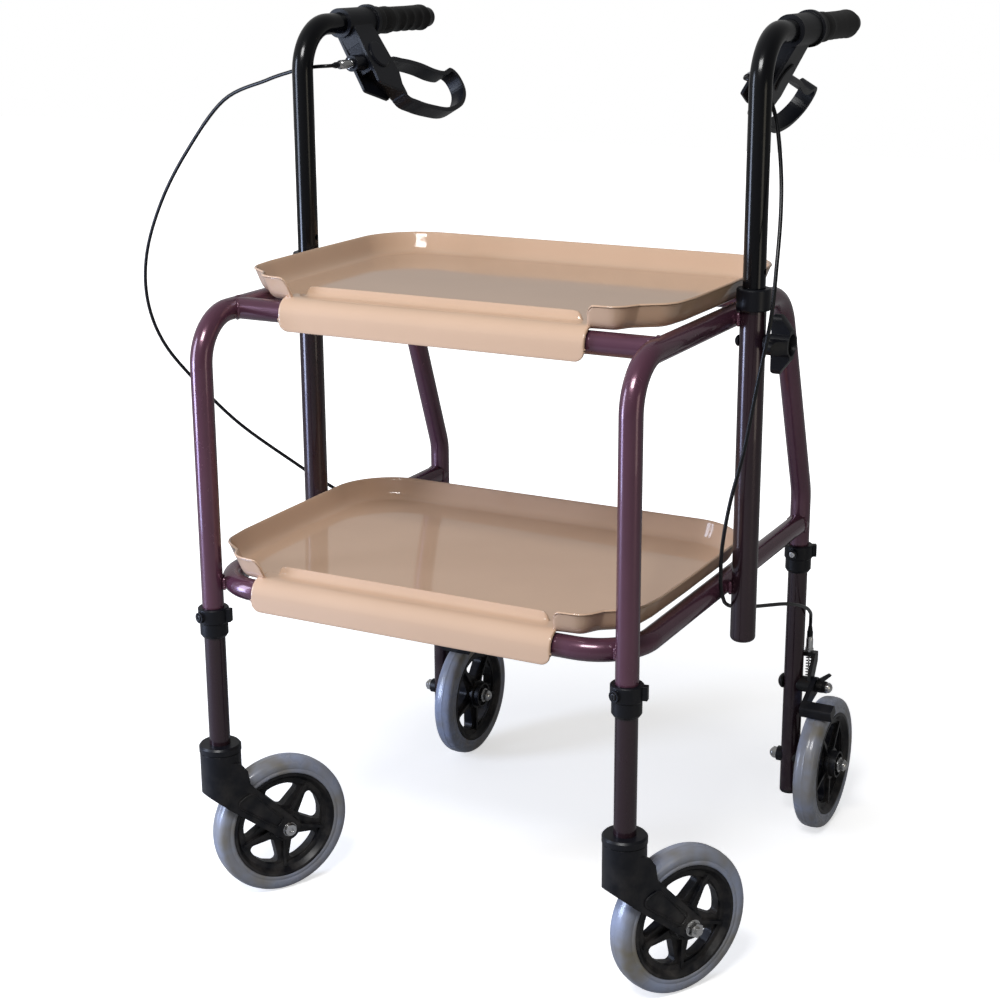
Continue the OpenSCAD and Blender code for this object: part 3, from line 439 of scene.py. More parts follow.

# %% [markdown]
# The tubes wear a wine-coloured metallic paint under a clear coat, the uprights and leg tubes a nearly
# black one, made darker still as painted shade for the right-hand tubes. Handles, levers, collars, forks
# and rims are black plastic or black paint, and their cool sheen is a painted blue reflection in their
# colour.
# The trays are glossy pinkish beige plastic, the tyres a soft grey rubber that shines where it is worn;
# the bluish tone among its patches is a painted cool reflection.

# %% Finishes by slot
FINISHES = {
    "frame_paint": finish("frame_paint", (0.130, 0.048, 0.082), (0.108, 0.040, 0.068), rough=(0.20, 0.26),
                          grain=420, height=0.000022, Metallic=0.4, Coat_Weight=0.5, Coat_Roughness=0.03),
    # nearly black paint, made darker still as painted shade for the shaded right-hand uprights and legs
    "dark_paint": finish("dark_paint", (0.030, 0.013, 0.020), (0.025, 0.011, 0.017), rough=(0.22, 0.28),
                         grain=420, height=0.000022, Metallic=0.35, Coat_Weight=0.4, Coat_Roughness=0.03),
    # the blue tint of the black_paint and black_plastic colours is a painted cool reflection
    "black_paint": finish("black_paint", (0.0016, 0.0019, 0.0032), (0.0013, 0.0015, 0.0022),
                          rough=(0.17, 0.22), grain=700, height=0.000003, Coat_Weight=0.1,
                          Coat_Roughness=0.08, Specular_IOR_Level=0.3),
    "black_plastic": finish("black_plastic", (0.0044, 0.0052, 0.0088), (0.0034, 0.0037, 0.0054),
                            rough=(0.32, 0.44), grain=1400, height=0.00005, Specular_IOR_Level=0.28),
    "grip_rubber": finish("grip_rubber", (0.0058, 0.0056, 0.0056), (0.0046, 0.0045, 0.0045),
                          rough=(0.44, 0.56), grain=1600, height=0.0001, Specular_IOR_Level=0.25),
    "tray_plastic": finish("tray_plastic", (0.66, 0.454, 0.318), (0.64, 0.438, 0.306), rough=(0.06, 0.09),
                           grain=260, height=0.00001, mark_share=0.03, dust_share=0.0, Coat_Weight=0.06,
                           Coat_Roughness=0.03, Specular_IOR_Level=0.42),
    # the first, bluish tone is a painted cool reflection, the second is the rubber's own warm grey
    "tyre_grey": finish("tyre_grey", (0.32, 0.37, 0.52), (0.225, 0.205, 0.16), drift=18, rough=(0.22, 0.42),
                        grain=800, height=0.00008, dust_share=0.3, Coat_Weight=0.3, Coat_Roughness=0.12),
    "bright_steel": finish("bright_steel", (0.66, 0.66, 0.66), (0.55, 0.55, 0.55), drift=80, rough=(0.2, 0.3),
                           grain=1800, height=0.00002, dust_share=0.1, edge=0.0003, Metallic=1.0),
    "cable_sheath": finish("cable_sheath", (0.004, 0.0045, 0.006), (0.0035, 0.0036, 0.005),
                           rough=(0.26, 0.34), grain=1200, height=0.00003, edge=0.0003,
                           Specular_IOR_Level=0.3),
    "black_steel": finish("black_steel", (0.006, 0.006, 0.007), (0.005, 0.005, 0.0055), rough=(0.28, 0.4),
                          grain=900, height=0.00004, Coat_Weight=0.12, Coat_Roughness=0.15,
                          Specular_IOR_Level=0.3),
}


def coat(piece, slot):
    piece.data.materials.clear()
    piece.data.materials.append(FINISHES[slot])


for row in frame["record"]["subparts"]:
    coat(frame["nodes"][row["node"]], row["material_slot"])
for cable in cables.values():
    coat(cable, "cable_sheath")
print("finishes:", sorted(FINISHES))

# %% [markdown]
# ## Bent sheets
# Trays, grips and tyres are all skins of one cross-section carried along a line. A flat grid is the
# quickest start for each: its columns are laid along the line and its rows along the section, and the
# grid is then bent into place vertex by vertex.

# %% Grid helpers
def bent_grid(name, columns, rows, shape):
    piece = start(bpy.ops.mesh.primitive_grid_add, name, size=1, x_subdivisions=columns - 1,
                  y_subdivisions=rows - 1)
    row_of = []
    for vertex in piece.data.vertices:
        column = round((0.5 - vertex.co.x) * (columns - 1))
        row = round((vertex.co.y + 0.5) * (rows - 1))
        vertex.co = shape(column, row)
        row_of.append(row)
    return piece, row_of


def thicken(piece, thickness, edge=0.0):
    shell = piece.modifiers.new("shell", "SOLIDIFY")
    shell.thickness = thickness
    shell.offset = -1
    if edge:
        soft = piece.modifiers.new("edge", "BEVEL")
        soft.width = edge
        soft.segments = 2
        soft.limit_method = "ANGLE"
        soft.angle_limit = math.radians(50)
    apply_all(piece)


def face_up(piece, face):
    if face.normal.z < 0:
        activate(piece)
        bpy.ops.object.mode_set(mode="EDIT")
        bpy.ops.mesh.select_all(action="SELECT")
        bpy.ops.mesh.flip_normals()
        bpy.ops.object.mode_set(mode="OBJECT")


def rounded_path(corners, step):
    # Corner points with a radius each; every run is cut into steps and every corner into an arc
    line = []
    for i, (x, y, radius) in enumerate(corners):
        here = Vector((x, y))
        if radius == 0:
            line.append(here)
            continue
        before = (Vector(corners[i - 1][:2]) - here).normalized()
        after = (Vector(corners[i + 1][:2]) - here).normalized()
        half = before.angle(after) / 2
        reach = radius / math.tan(half)
        middle = here + (before + after).normalized() * (radius / math.sin(half))
        first = here + before * reach - middle
        last = here + after * reach - middle
        swing = math.atan2(first.x * last.y - first.y * last.x, first.dot(last))
        cuts = max(3, round(abs(swing) * radius / step))
        for k in range(cuts + 1):
            turned = swing * k / cuts
            line.append(middle + Vector((first.x * math.cos(turned) - first.y * math.sin(turned),
                                         first.x * math.sin(turned) + first.y * math.cos(turned))))
    dense = [line[0]]
    for a, b in zip(line, line[1:]):
        cuts = max(1, round((b - a).length / step))
        dense += [a.lerp(b, (k + 1) / cuts) for k in range(cuts)]
    return dense


print("grid helpers ready")

# %% [markdown]
# ## Tray skins
# A real tray is one sheet of glossy plastic, about 2.5 mm thick, pressed over a mould: a flat floor, a
# wall that rises in one easy curve and rolls over at the rim, and a hook along the front that grips the
# crossbar. The wall is a grid carried round the rim line, and it dies away in a rounded end at each
# front corner. The floor closes the foot of the wall with one face.

# %% Tray wall and floor
FLOOR_TOP = 14.1
RIM_HALF = [(157, -0.8, 0), (184.5, 2.2, 11), (193.6, 19, 13), (218.6, 37.2, 22), (222.6, 70, 80),
            (224, 150, 90), (224, 306, 54)]
WALL = [(-8, 0), (-4.5, 0.2), (-2, 1.0), (0, 2.5), (1.7, 4.8), (3.1, 7.6), (4.3, 10.6), (5.5, 13.8),
        (6.7, 17), (7.7, 19.6), (8.5, 21.2), (9.3, 22), (10.3, 22.2), (11.1, 21.7), (11.5, 20.8)]
WALL_END = 9.0
RIM_STEP = 2.5


def tray_pan():
    corners = RIM_HALF + [(-x, y, r) for x, y, r in reversed(RIM_HALF)]
    line = rounded_path(corners, RIM_STEP)
    runs = [0.0]
    for a, b in zip(line, line[1:]):
        runs.append(runs[-1] + (b - a).length)
    outs = []
    for i in range(len(line)):
        ahead = line[min(i + 1, len(line) - 1)] - line[max(i - 1, 0)]
        outs.append(Vector((ahead.y, -ahead.x)).normalized())

    def shape(column, row):
        out, height = WALL[row]
        near_end = min(runs[column], runs[-1] - runs[column], WALL_END) / WALL_END
        rise = math.sqrt(1 - (1 - near_end) ** 2)
        foot = line[column] + outs[column] * (out * rise if out > 0 else out)
        return Vector((foot.x, foot.y, FLOOR_TOP + height * rise)) / 1000

    pan, row_of = bent_grid("tray_pan", len(line), len(WALL), shape)
    for vertex, row in zip(pan.data.vertices, row_of):
        vertex.select = row == 0
    for item in list(pan.data.edges) + list(pan.data.polygons):
        item.select = all(row_of[k] == 0 for k in item.vertices)
    activate(pan)
    bpy.ops.object.mode_set(mode="EDIT")
    bpy.ops.mesh.edge_face_add()
    bpy.ops.mesh.select_all(action="SELECT")
    bpy.ops.mesh.remove_doubles(threshold=0.00001)
    bpy.ops.mesh.normals_make_consistent(inside=False)
    bpy.ops.object.mode_set(mode="OBJECT")
    face_up(pan, max(pan.data.polygons, key=lambda face: face.area))
    return pan


pan = tray_pan()
print("tray pan faces:", len(pan.data.polygons))

# %% [markdown]
# The hook is a second grid. Its section runs from the floor over a low front ridge, round the crossbar
# and down the apron to a curled lower edge. The ridge sinks away in rounded ends short of the corners.
# The whole hook sits a little to the left, as the picture shows it. The apron has round lower corners,
# and the outermost columns turn in so that the edge looks thick.

# %% Tray hook and apron
HOOK_R = 16.4
ROUND_THE_BAR = [(HOOK_R * math.sin(-math.radians(a)), HOOK_R * math.cos(math.radians(a)))
                 for a in range(8, 91, 7)]
HOOK = [(24, 13.9), (20, 14.1), (17.5, 14.3), (15.8, 15.6), (15, 18.5), (14.7, 23.6), (14.2, 25),
        (13.4, 25.4), (12.6, 25), (12.2, 23.6), (11.6, 19.5), (10.2, 17.4), (7.5, 16.6), (3, HOOK_R)]
HOOK += ROUND_THE_BAR
HOOK += [(-HOOK_R, -3.5), (-HOOK_R, -7), (-HOOK_R, -10), (-HOOK_R, -12.5), (-HOOK_R, -14.2),
         (-16.1, -15.3), (-15.3, -15.8), (-14.4, -15.5), (-13.9, -14.5), (-13.8, -11)]
RIDGE_FOOT = 5.0
APRON_DROP = 16.0
HOOK_STEP = 8.0
END_CUTS = [0, 0.1, 0.5, 1.2, 2.2, 3.5, 5, 6.5, 8, 9, 9.6, 10, 10.4, 11, 12, 13.5, 15, 17, 20, 26]
EDGE_TURN = {0: 2.4, 1: 0.9, 2: 0.25}
HOOK_HALF = 164.0
HOOK_SHIFT = -3.0
RIDGE_HALF = 148.5
RIDGE_END = 7.0
APRON_CORNER = 10.0


def tray_hook():
    across = [HOOK_HALF - cut for cut in END_CUTS] + [k * HOOK_STEP for k in range(16, -17, -1)]
    across += [cut - HOOK_HALF for cut in reversed(END_CUTS)]

    def shape(column, row):
        x = across[column]
        y, z = HOOK[row]
        if z > HOOK_R and y > RIDGE_FOOT:
            left = max(0.0, min(1.0, (RIDGE_HALF - abs(x)) / RIDGE_END))
            z = HOOK_R + (z - HOOK_R) * math.sqrt(1 - (1 - left) ** 2)
        over = max(0.0, abs(x) - (HOOK_HALF - APRON_CORNER))
        lift = APRON_CORNER - math.sqrt(max(0.0, APRON_CORNER ** 2 - over ** 2))
        if z < 0:
            z = z * (1 - lift / APRON_DROP)
        depth = EDGE_TURN.get(min(column, len(across) - 1 - column), 0.0)
        before, after = HOOK[max(row - 1, 0)], HOOK[min(row + 1, len(HOOK) - 1)]
        way = Vector((after[0] - before[0], after[1] - before[1])).normalized()
        return Vector((x + HOOK_SHIFT, y - way.y * depth, z + way.x * depth)) / 1000

    hook, _ = bent_grid("tray_hook", len(across), len(HOOK), shape)
    outward(hook)
    face_up(hook, max(hook.data.polygons, key=lambda face: face.center.z))
    return hook


hook = tray_hook()
print("tray hook faces:", len(hook.data.polygons))

# %% [markdown]
# Both sheets get their thickness on the hidden side and become one piece. The second tray is a copy
# with its own mesh, moved down to the lower rails.

# %% Two trays
PAN_SHEET, PAN_EDGE, HOOK_SHEET = 0.0024, 0.0005, 0.0012
LOWER_TRAY_SHIFT = -3.0
thicken(pan, PAN_SHEET, PAN_EDGE)
thicken(hook, HOOK_SHEET)
activate(pan)
hook.select_set(True)
bpy.ops.object.join()
tray_places = {"upper_tray": at(0, BAR_Y, RAIL_Z), "lower_tray": at(LOWER_TRAY_SHIFT, 0, LOWER_Z)}
activate(pan)
bpy.ops.object.duplicate()
for skin, (body, place) in zip((pan, bpy.context.object), tray_places.items()):
    skin.name = body + "_skin"
    skin.location = place
    settle(skin)
    smooth(skin, 40)
    coat(skin, "tray_plastic")
    put(skin, body, "tray_plastic", body)
print("trays:", ", ".join(name + "_skin" for name in tray_places))

# %% [markdown]
# ## Grips
# A grip is a soft rubber sleeve pushed onto the handle tube: a collar next to the brake housing, a
# smooth barrel, then hollows for the fingers on the inner lower side, and a blunt end. It is a grid
# rolled into a tube whose radius depends on the place along the grip and on the angle round it.

# %% Grips
GRIP_START = 364.0
GRIP_PROFILE = [(0, 0), (0, 11), (0, 14.8), (0.7, 15.4), (12.4, 15.4), (13.4, 15.0), (14, 13.6),
                (16, 13.1), (19, 13.5), (25, 14.5), (33, 14.9), (38, 14.2), (44, 14.0), (80, 13.9),
                (100, 14.2), (108, 14.6), (111, 14.4), (114, 13.2), (115.6, 12.0), (116, 11.2),
                (115.3, 10.6), (115.2, 0)]
GRIP_STEP = 1.6
GRIP_SKIN_R = 12.0
HOLLOWS = [(40, 58), (58, 76), (76, 94), (94, 110)]
HOLLOW_DEPTH = 2.8
FINGER_ANGLE = {"left": math.radians(328), "right": math.radians(212)}


def grip_rows():
    rows = []
    for (t, r), (t2, r2) in zip(GRIP_PROFILE, GRIP_PROFILE[1:]):
        cuts = max(1, round((t2 - t) / GRIP_STEP))
        rows += [(t + (t2 - t) * k / cuts, r + (r2 - r) * k / cuts) for k in range(cuts)]
    return rows + [GRIP_PROFILE[-1]]


def hollow(t):
    for low, high in HOLLOWS:
        if low < t < high:
            return math.sin(math.pi * (t - low) / (high - low)) ** 0.8
    return 0.0


def grip(side):
    s = SIDES[side]
    rows = grip_rows()
    around = 56

    def shape(column, row):
        t, r = rows[row]
        angle = 2 * math.pi * column / around
        facing = max(0.0, math.cos(angle - FINGER_ANGLE[side]))
        if r > GRIP_SKIN_R:
            r -= HOLLOW_DEPTH * hollow(t) * facing ** 1.6
        return at(s * UPRIGHT_X + r * math.cos(angle), GRIP_START + t, GRIP_Z + r * math.sin(angle))

    piece, _ = bent_grid("grip_" + side, around + 1, len(rows), shape)
    outward(piece)
    smooth(piece, 40)
    coat(piece, "grip_rubber")
    put(piece, "handle_" + side, "grip_rubber", "handle_grip_" + side)
    return piece


for side in SIDES:
    print(grip(side).name, "made")

# %% [markdown]
# ## Tyres
# The tyres are moulded in two halves, which leaves a fine line round the middle of the tread and a
# shallow groove on each side wall. One section is carried round the axle of each wheel.

# %% Tyres
SIDE_WALL = [(-11.2, 58.0), (-11.8, 58.6), (-12, 60), (-12, 61.6), (-11.7, 62.1), (-11.7, 63.1), (-12, 63.6),
             (-12, 66.5), (-11.85, 68.4), (-11.2, 70.6), (-9.9, 72.5), (-8.2, 73.7), (-6, 74.45), (-3, 74.75),
             (-0.7, 74.82), (-0.35, 75.0)]
TYRE = SIDE_WALL + [(-a, r) for a, r in reversed(SIDE_WALL)] + [SIDE_WALL[0]]
CASTER_TURN = math.radians(30)
CASTER_TRAIL = 64.0
AXLE_Z = 75.0
REAR_WHEEL_X = 39.0
WHEELS = {}
for side, s in SIDES.items():
    WHEELS["front_" + side] = (Vector((s * LEG_X + CASTER_TRAIL * math.sin(CASTER_TURN),
                                       CASTER_TRAIL * math.cos(CASTER_TURN), AXLE_Z)), CASTER_TURN)
    WHEELS["rear_" + side] = (Vector((s * LEG_X + REAR_WHEEL_X, REAR_Y, AXLE_Z)), 0.0)


def tyre(name):
    middle, turned = WHEELS[name]
    end, side = name.split("_")
    axle = Vector((math.cos(turned), -math.sin(turned), 0))
    level = Vector((math.sin(turned), math.cos(turned), 0))
    around = 96

    def shape(column, row):
        a, r = TYRE[row]
        angle = 2 * math.pi * column / around
        return at(*(middle + axle * a + level * r * math.cos(angle) + Vector((0, 0, r * math.sin(angle)))))

    piece, _ = bent_grid("tyre_" + name, around + 1, len(TYRE), shape)
    outward(piece)
    smooth(piece, 40)
    coat(piece, "tyre_grey")
    put(piece, end + "_wheel_" + side, "tyre_grey", end + "_tyre_" + side)
    return piece


for name in WHEELS:
    print(tyre(name).name, "made")

# %% [markdown]
# ## Return springs
# Each brake arm is pushed back by a small coil spring. A ring of wire is the start, and a screw
# modifier winds it up. As the brake closes the spring shortens by half a millimetre.

# %% Springs
SPRING_LOW, SPRING_HIGH = 168.9, 194.1
COIL_R, WIRE_D, TURNS = 3.1, 1.2, 7


def spring(side):
    s = SIDES[side]
    piece = start(bpy.ops.mesh.primitive_circle_add, "spring_" + side, vertices=10, radius=WIRE_D / 2000,
                  rotation=(math.pi / 2, 0, 0), location=(COIL_R / 1000, 0, 0))
    settle(piece)
    wound = piece.modifiers.new("wound", "SCREW")
    wound.screw_offset = (SPRING_HIGH - SPRING_LOW - WIRE_D) / 1000 / TURNS
    wound.iterations = TURNS
    wound.steps = wound.render_steps = 28
    apply_all(piece)
    bpy.ops.object.mode_set(mode="EDIT")
    bpy.ops.mesh.select_all(action="SELECT")
    bpy.ops.mesh.fill_holes(sides=12)
    bpy.ops.object.mode_set(mode="OBJECT")
    piece.location = at(s * LEG_X + BRAKE_OFF, REAR_Y + BRAKE_OFF, SPRING_LOW + WIRE_D / 2)
    settle(piece)
    outward(piece)
    smooth(piece, 60)
    coat(piece, "bright_steel")
    put(piece, "frame", "bright_steel", "brake_spring_" + side)
    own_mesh(piece)
    return piece


for side in SIDES:
    print(spring(side).name, "made")

# %% [markdown]
# ## Screws
# The collar screws are pan heads with a cross slot, blackened in front and plated behind. One head is
# turned from a cylinder, its rim bevelled and the cross cut out. The screws are copies of it that face
# outwards from their legs.

# %% Collar screws
SCREW_Z = 321.0
SCREW_OUT = 18.3
FRONT_SCREW_ANGLE, REAR_SCREW_ANGLE = 252, 266
HEAD_R, HEAD_DEPTH, HEAD_ROUND = 0.0034, 0.002, 0.0007
SLOT_SIZE = (4.2, 0.9, 1.3)


def cross_head():
    head = start(bpy.ops.mesh.primitive_cylinder_add, "cross_head", vertices=32, radius=HEAD_R,
                 depth=HEAD_DEPTH)
    soft = head.modifiers.new("rim", "BEVEL")
    soft.width = HEAD_ROUND
    soft.segments = 3
    soft.limit_method = "ANGLE"
    apply_all(head)
    for turned in (0, math.pi / 2):
        bar = start(bpy.ops.mesh.primitive_cube_add, "slot_cutter", size=0.001, scale=SLOT_SIZE,
                    location=(0, 0, HEAD_DEPTH / 2), rotation=(0, 0, turned))
        settle(bar)
        cut = head.modifiers.new("slot", "BOOLEAN")
        cut.operation = "DIFFERENCE"
        cut.object = bar
        apply_all(head)
        bpy.data.objects.remove(bar)
    return head


def screw_at(name, head, x, y, angle, slot):
    activate(head)
    bpy.ops.object.duplicate()
    piece = bpy.context.object
    piece.name = name
    way = math.radians(angle)
    piece.rotation_euler = (0, math.pi / 2, way)
    piece.location = at(x + SCREW_OUT * math.cos(way), y + SCREW_OUT * math.sin(way), SCREW_Z)
    settle(piece)
    smooth(piece, 35)
    coat(piece, slot)
    put(piece, "frame", slot)


head = cross_head()
for side, s in SIDES.items():
    screw_at("front_collar_screw_" + side, head, s * LEG_X, 0, FRONT_SCREW_ANGLE, "black_steel")
    screw_at("rear_collar_screw_" + side, head, s * LEG_X, REAR_Y, REAR_SCREW_ANGLE, "bright_steel")
bpy.data.objects.remove(head)
print("collar screws: 4")

# %% [markdown]
# ## Welds
# The tubes are joined with small weld beads. A bead is a grid rolled round its line, with ripples where
# the weld pool set. Ring beads go round the tube ends that are shaped to sit on another tube, and short
# beads fill the grooves where two tubes touch.

# %% Weld beads
RING_STEPS, RING_BEAD_R, SADDLE_LIFT = 60, 1.35, 1.5


def bead(name, stations, body="frame", slot="frame_paint"):
    # Each station is a place, two directions across the bead and the radius there
    around = 10

    def shape(column, row):
        place, across, other, radius = stations[row]
        angle = 2 * math.pi * column / around
        return at(*(place + (across * math.cos(angle) + other * math.sin(angle)) * radius))

    piece, _ = bent_grid(name, around + 1, len(stations), shape)
    outward(piece)
    smooth(piece, 60)
    coat(piece, slot)
    put(piece, body, slot)


def ring_bead(name, middle, along, level):
    # The saddle curve where a tube that runs along one way ends on a tube of the same size
    up = along.cross(level)
    stations = []
    for k in range(RING_STEPS + 1):
        angle = 2 * math.pi * k / RING_STEPS
        out = level * math.cos(angle) + up * math.sin(angle)
        back = math.sqrt(TUBE_R ** 2 * math.cos(angle) ** 2 + SADDLE_LIFT)
        size = RING_BEAD_R * (1 + 0.22 * math.sin(angle * 17) + 0.1 * math.sin(angle * 5))
        stations.append((middle + out * TUBE_R - along * back, out, along, size))
    bead(name, stations)


def short_bead(name, middle, radius, length):
    rows = 22
    stations = []
    for k in range(rows + 1):
        share = 2 * k / rows - 1
        size = radius * math.sqrt(max(0.0, 1 - share ** 4)) * (1 + 0.16 * math.sin(k * 2.1))
        place = middle + Vector((0, 0, share * length / 2))
        stations.append((place, Vector((1, 0, 0)), Vector((0, 1, 0)), size))
    bead(name, stations)


REAR_BAR_Y = 329.0
LOWER_BEND = 53.6
GROOVE_X, GROOVE_OFF, CORNER_OFF = 240.6, 9.4, 5.2
BEAD_R, GROOVE_BEAD, CORNER_BEAD = 2.3, 14, 13
for side, s in SIDES.items():
    out, back = Vector((s, 0, 0)), Vector((0, 1, 0))
    ring_bead("weld_front_bar_" + side, Vector((s * LEG_X, BAR_Y, RAIL_Z)), out, back)
    ring_bead("weld_rear_bar_" + side, Vector((s * LEG_X, REAR_BAR_Y, RAIL_Z)), out, back)
    ring_bead("weld_lower_frame_" + side, Vector((s * LEG_X, REAR_Y, LOWER_Z)), back, -out)
    for z, level_name in ((RAIL_Z, "upper"), (LOWER_Z, "lower")):
        for y, end in ((-GROOVE_OFF, "front"), (GROOVE_OFF, "rear")):
            short_bead("weld_upright_" + "_".join((level_name, end, side)),
                       Vector((s * GROOVE_X, UPRIGHT_Y + y, z)), BEAD_R, GROOVE_BEAD)
    touch = LEG_X - (LOWER_BEND - LOWER_BEND / math.sqrt(2)) / 2
    for shift, end in ((-CORNER_OFF, "front"), (CORNER_OFF, "rear")):
        corner = Vector((s * (touch + shift), LEG_X - touch + shift, LOWER_Z))
        short_bead("weld_corner_" + end + "_" + side, corner, BEAD_R, CORNER_BEAD)
print("weld beads made")

# %% [markdown]
# ## Small turned pieces
# Black ferrules cover both ends of each cable, and a plug closes the foot of each rear leg. All are
# turned pieces: a short profile carried once round its axis.

# %% Ferrules and plugs
def turned(name, foot, way, profile, slot="black_plastic"):
    way = Vector(way).normalized()
    across = way.orthogonal().normalized()
    other = way.cross(across)
    around = 32

    def shape(column, row):
        t, r = profile[row]
        angle = 2 * math.pi * column / around
        return at(*(Vector(foot) + way * t + (across * math.cos(angle) + other * math.sin(angle)) * r))

    piece, _ = bent_grid(name, around + 1, len(profile), shape)
    outward(piece)
    smooth(piece, 35)
    coat(piece, slot)
    return piece


UPPER_FERRULE = [(0, 0), (0, 3.3), (4.2, 3.3), (4.7, 2.9), (5.2, 2.8), (8, 2.5), (8.3, 2.2), (8.3, 0)]
LOWER_FERRULE = [(0, 0), (0, 3.4), (6.6, 3.4), (7.2, 2.9), (8, 2.8), (12, 2.4), (12.4, 2.1), (12.4, 0)]
FOOT_PLUG = [(0, 0), (0, 10.5), (1.6, 10.7), (3.4, 10.6), (4.6, 9.8), (5.4, 7.5), (5.7, 0)]
UPPER_FERRULE_Y, LOWER_FERRULE_Z, LEG_FOOT_Z = 31, 217, 36
for side, s in SIDES.items():
    piece = turned("upper_ferrule_" + side, lever_point(s, UPPER_FERRULE_Y, LEVER_CABLE_Y), (0, -1, 0),
                   UPPER_FERRULE)
    put(piece, "handle_" + side, "black_plastic")
    piece = turned("lower_ferrule_" + side, (s * LEG_X + BRAKE_OFF, REAR_Y + BRAKE_OFF, LOWER_FERRULE_Z),
                   (0, 0, 1), LOWER_FERRULE)
    put(piece, "frame", "black_plastic")
    piece = turned("foot_plug_" + side, (s * LEG_X, REAR_Y, LEG_FOOT_Z), (0, 0, -1), FOOT_PLUG)
    put(piece, "frame", "black_plastic")
print("ferrules and plugs: 6")

# %% [markdown]
# The nut on each brake pivot is a bright domed nut, and the outer face of each fork arm has a moulded
# rim round its sunk panel. The rim is one more bead, carried round the panel's outline on the arm.

# %% Domed nuts and fork rims
NUT_FOOT, NUT_R = 39.0, 6.4
PIVOT_Z = 165.0
DOMED_NUT = [(0, 0), (0, 5.9), (2.4, 5.95)]
DOMED_NUT += [(0.5 + NUT_R * math.sin(math.radians(a)), NUT_R * math.cos(math.radians(a)))
              for a in range(22, 91, 8)]
DOMED_NUT[-1] = (DOMED_NUT[-1][0], 0)
FORK_FACE = 22.6
FORK_RIM_R = 0.75
FORK_PANEL = [(16, 123.5, 0), (25, 126, 5), (57.5, 87.5, 2.5), (51, 80.5, 2.5), (4, 116.5, 5), (16, 123.5, 0)]


def fork_rim(side, face):
    s = SIDES[side]
    axle = Vector((math.cos(CASTER_TURN), -math.sin(CASTER_TURN), 0))
    level = Vector((math.sin(CASTER_TURN), math.cos(CASTER_TURN), 0))
    outline = rounded_path(FORK_PANEL, 1.5)
    stations = []
    for k, point in enumerate(outline):
        ahead = outline[min(k + 1, len(outline) - 1)] - outline[max(k - 1, 0)]
        if k in (0, len(outline) - 1):
            ahead = outline[1] - outline[-2]
        across = level * ahead.y - Vector((0, 0, ahead.x))
        place = Vector((s * LEG_X, 0, point.y)) + level * point.x + axle * face * FORK_FACE
        stations.append((place, across.normalized(), axle, FORK_RIM_R))
    name = "_".join(("fork_rim", side, "outer" if face == s else "inner"))
    bead(name, stations, "caster_" + side, "black_plastic")


for side, s in SIDES.items():
    piece = turned("brake_nut_" + side, (s * LEG_X + NUT_FOOT, REAR_Y, PIVOT_Z), (1, 0, 0), DOMED_NUT,
                   "bright_steel")
    put(piece, "frame", "bright_steel")
    fork_rim(side, -1)
    fork_rim(side, 1)
print("brake nuts: 2, fork rims: 4")

# %% [markdown]
# ## Floor and light
# A plain white floor runs out of the picture. It shows a little brighter to the camera so that it
# melts into the white world behind, and keeps the soft shadow under the wheels.

# %% Floor
FLOOR_BOUNCE = 0.25
PAPER_WHITE = 0.86
GLOSS_SHARE = 0.1
GLOW_NEAR, GLOW_FAR = 0.4, 1.3
GLOW_LOW, GLOW_HIGH = 0.6, 1.2


def background_seen(tree):
    # 1 for what the camera or clear glass shows, and a share of it for what gloss shows
    path = add_node(tree, "ShaderNodeLightPath")
    gloss = ranged(tree, path.outputs["Is Glossy Ray"], 0.0, 1.0, 0.0, GLOSS_SHARE)
    clear = add_node(tree, "ShaderNodeMath", operation="ADD", use_clamp=True)
    total = add_node(tree, "ShaderNodeMath", operation="ADD", use_clamp=True)
    wire(tree, (path.outputs["Is Camera Ray"], clear.inputs[0]),
         (path.outputs["Is Transmission Ray"], clear.inputs[1]), (clear.outputs[0], total.inputs[0]),
         (gloss, total.inputs[1]))
    return total.outputs[0]


floor = start(bpy.ops.mesh.primitive_plane_add, "floor", size=14)
paper = bpy.data.materials.new("floor_paper")
paper.use_nodes = True
tree = paper.node_tree
tree.nodes["Principled BSDF"].inputs["Roughness"].default_value = 0.9
seen = background_seen(tree)
whiteness = add_node(tree, "ShaderNodeMix", data_type="RGBA")
whiteness.inputs[6].default_value = (FLOOR_BOUNCE, FLOOR_BOUNCE, FLOOR_BOUNCE, 1)
whiteness.inputs[7].default_value = (PAPER_WHITE, PAPER_WHITE, PAPER_WHITE, 1)
wire(tree, (seen, whiteness.inputs[0]),
     (whiteness.outputs[2], tree.nodes["Principled BSDF"].inputs["Base Color"]))
spot = add_node(tree, "ShaderNodeTexCoord")
reach = add_node(tree, "ShaderNodeVectorMath", operation="LENGTH")
wire(tree, (spot.outputs["Object"], reach.inputs[0]))
far_lift = ranged(tree, reach.outputs["Value"], GLOW_NEAR, GLOW_FAR, GLOW_LOW, GLOW_HIGH)
glow = add_node(tree, "ShaderNodeEmission")
both = add_node(tree, "ShaderNodeAddShader")
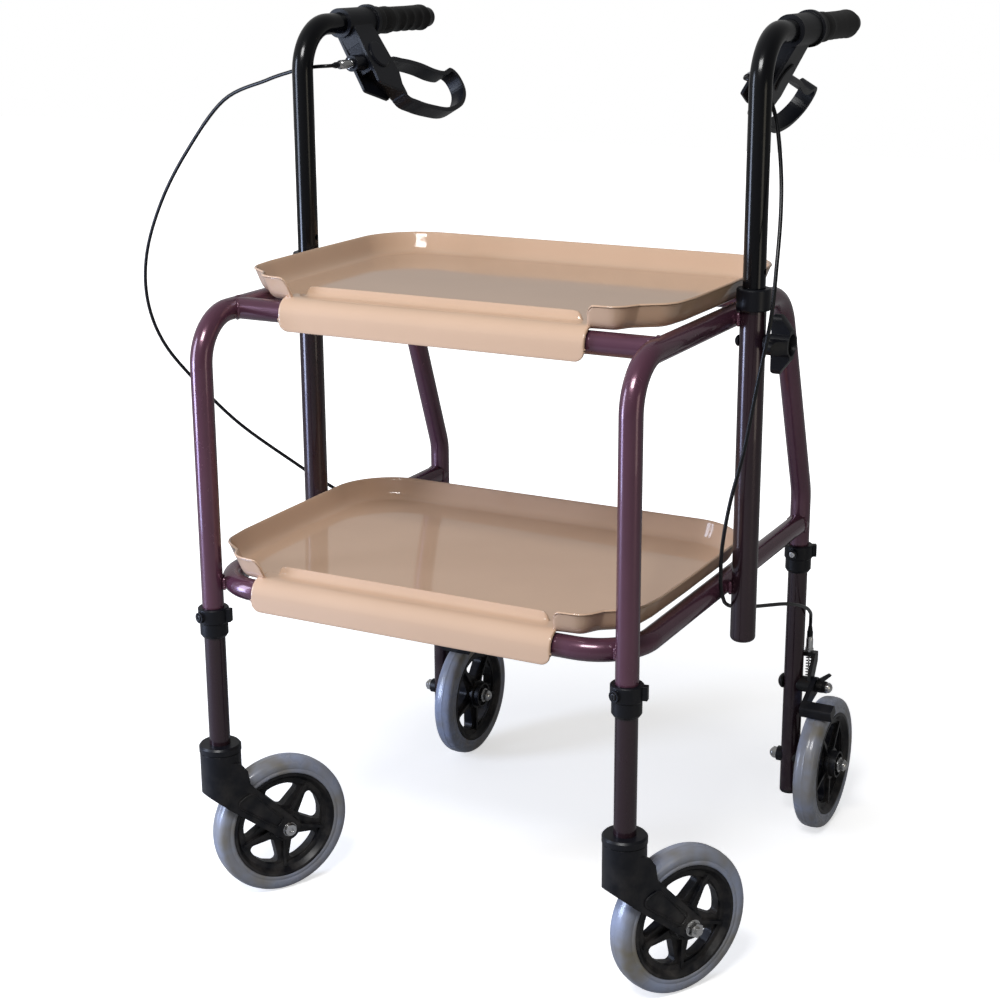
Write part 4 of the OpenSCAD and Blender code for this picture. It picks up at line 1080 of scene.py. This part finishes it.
wire(tree, (multiply(tree, seen, far_lift), glow.inputs["Strength"]),
     (tree.nodes["Principled BSDF"].outputs[0], both.inputs[0]), (glow.outputs[0], both.inputs[1]),
     (both.outputs[0], tree.nodes["Material Output"].inputs["Surface"]))
floor.data.materials.append(paper)
print("floor laid")

# %% [markdown]
# The world shows white to the camera and lights the walker softly from the left. A large soft lamp
# stands in front and above, two cool ones light the left side and a faint warm one the right.

# %% World and lamps
SKY_LEFT, SKY_RIGHT = 0.34, 0.06
world = bpy.data.worlds.new("studio")
bpy.context.scene.world = world
world.use_nodes = True
tree = world.node_tree
seen = background_seen(tree)
spot = add_node(tree, "ShaderNodeTexCoord")
axes = add_node(tree, "ShaderNodeSeparateXYZ")
wire(tree, (spot.outputs["Generated"], axes.inputs[0]))
sky = ranged(tree, axes.outputs["X"], -0.7, 0.7, SKY_LEFT, SKY_RIGHT)
level = add_node(tree, "ShaderNodeMix")
level.inputs[3].default_value = 1.0
wire(tree, (seen, level.inputs[0]), (sky, level.inputs[2]),
     (level.outputs[0], tree.nodes["Background"].inputs["Strength"]))
tree.nodes["Background"].inputs["Color"].default_value = (1, 1, 1, 1)


def lamp(name, place, aim, size, power, tint=(1, 1, 1)):
    data = bpy.data.lights.new(name, "AREA")
    data.shape = "RECTANGLE"
    data.size, data.size_y = size
    data.energy = power
    data.color = tint
    item = bpy.data.objects.new(name, data)
    bpy.context.scene.collection.objects.link(item)
    item.location = place
    item.rotation_euler = (Vector(aim) - Vector(place)).to_track_quat("-Z", "Y").to_euler()


lamp("front_lamp", (0.3, -1.95, 2.4), (0, 0, 0.45), (1.0, 0.7), 51)
lamp("left_lamp", (-1.4, -1.2, 0.75), (-0.15, 0, 0.5), (0.5, 1.3), 21, (0.70, 0.80, 1.0))
lamp("low_lamp", (-1.15, -0.95, 0.3), (-0.25, -0.15, 0.15), (0.4, 0.5), 6, (0.5, 0.62, 1.0))
lamp("right_lamp", (1.7, -0.5, 0.5), (0.1, 0, 0.3), (0.5, 0.8), 2, (1.0, 0.93, 0.76))
bpy.context.scene.view_settings.view_transform = "Standard"
print("stage set")

# %% Finish
bpy.context.view_layer.update()
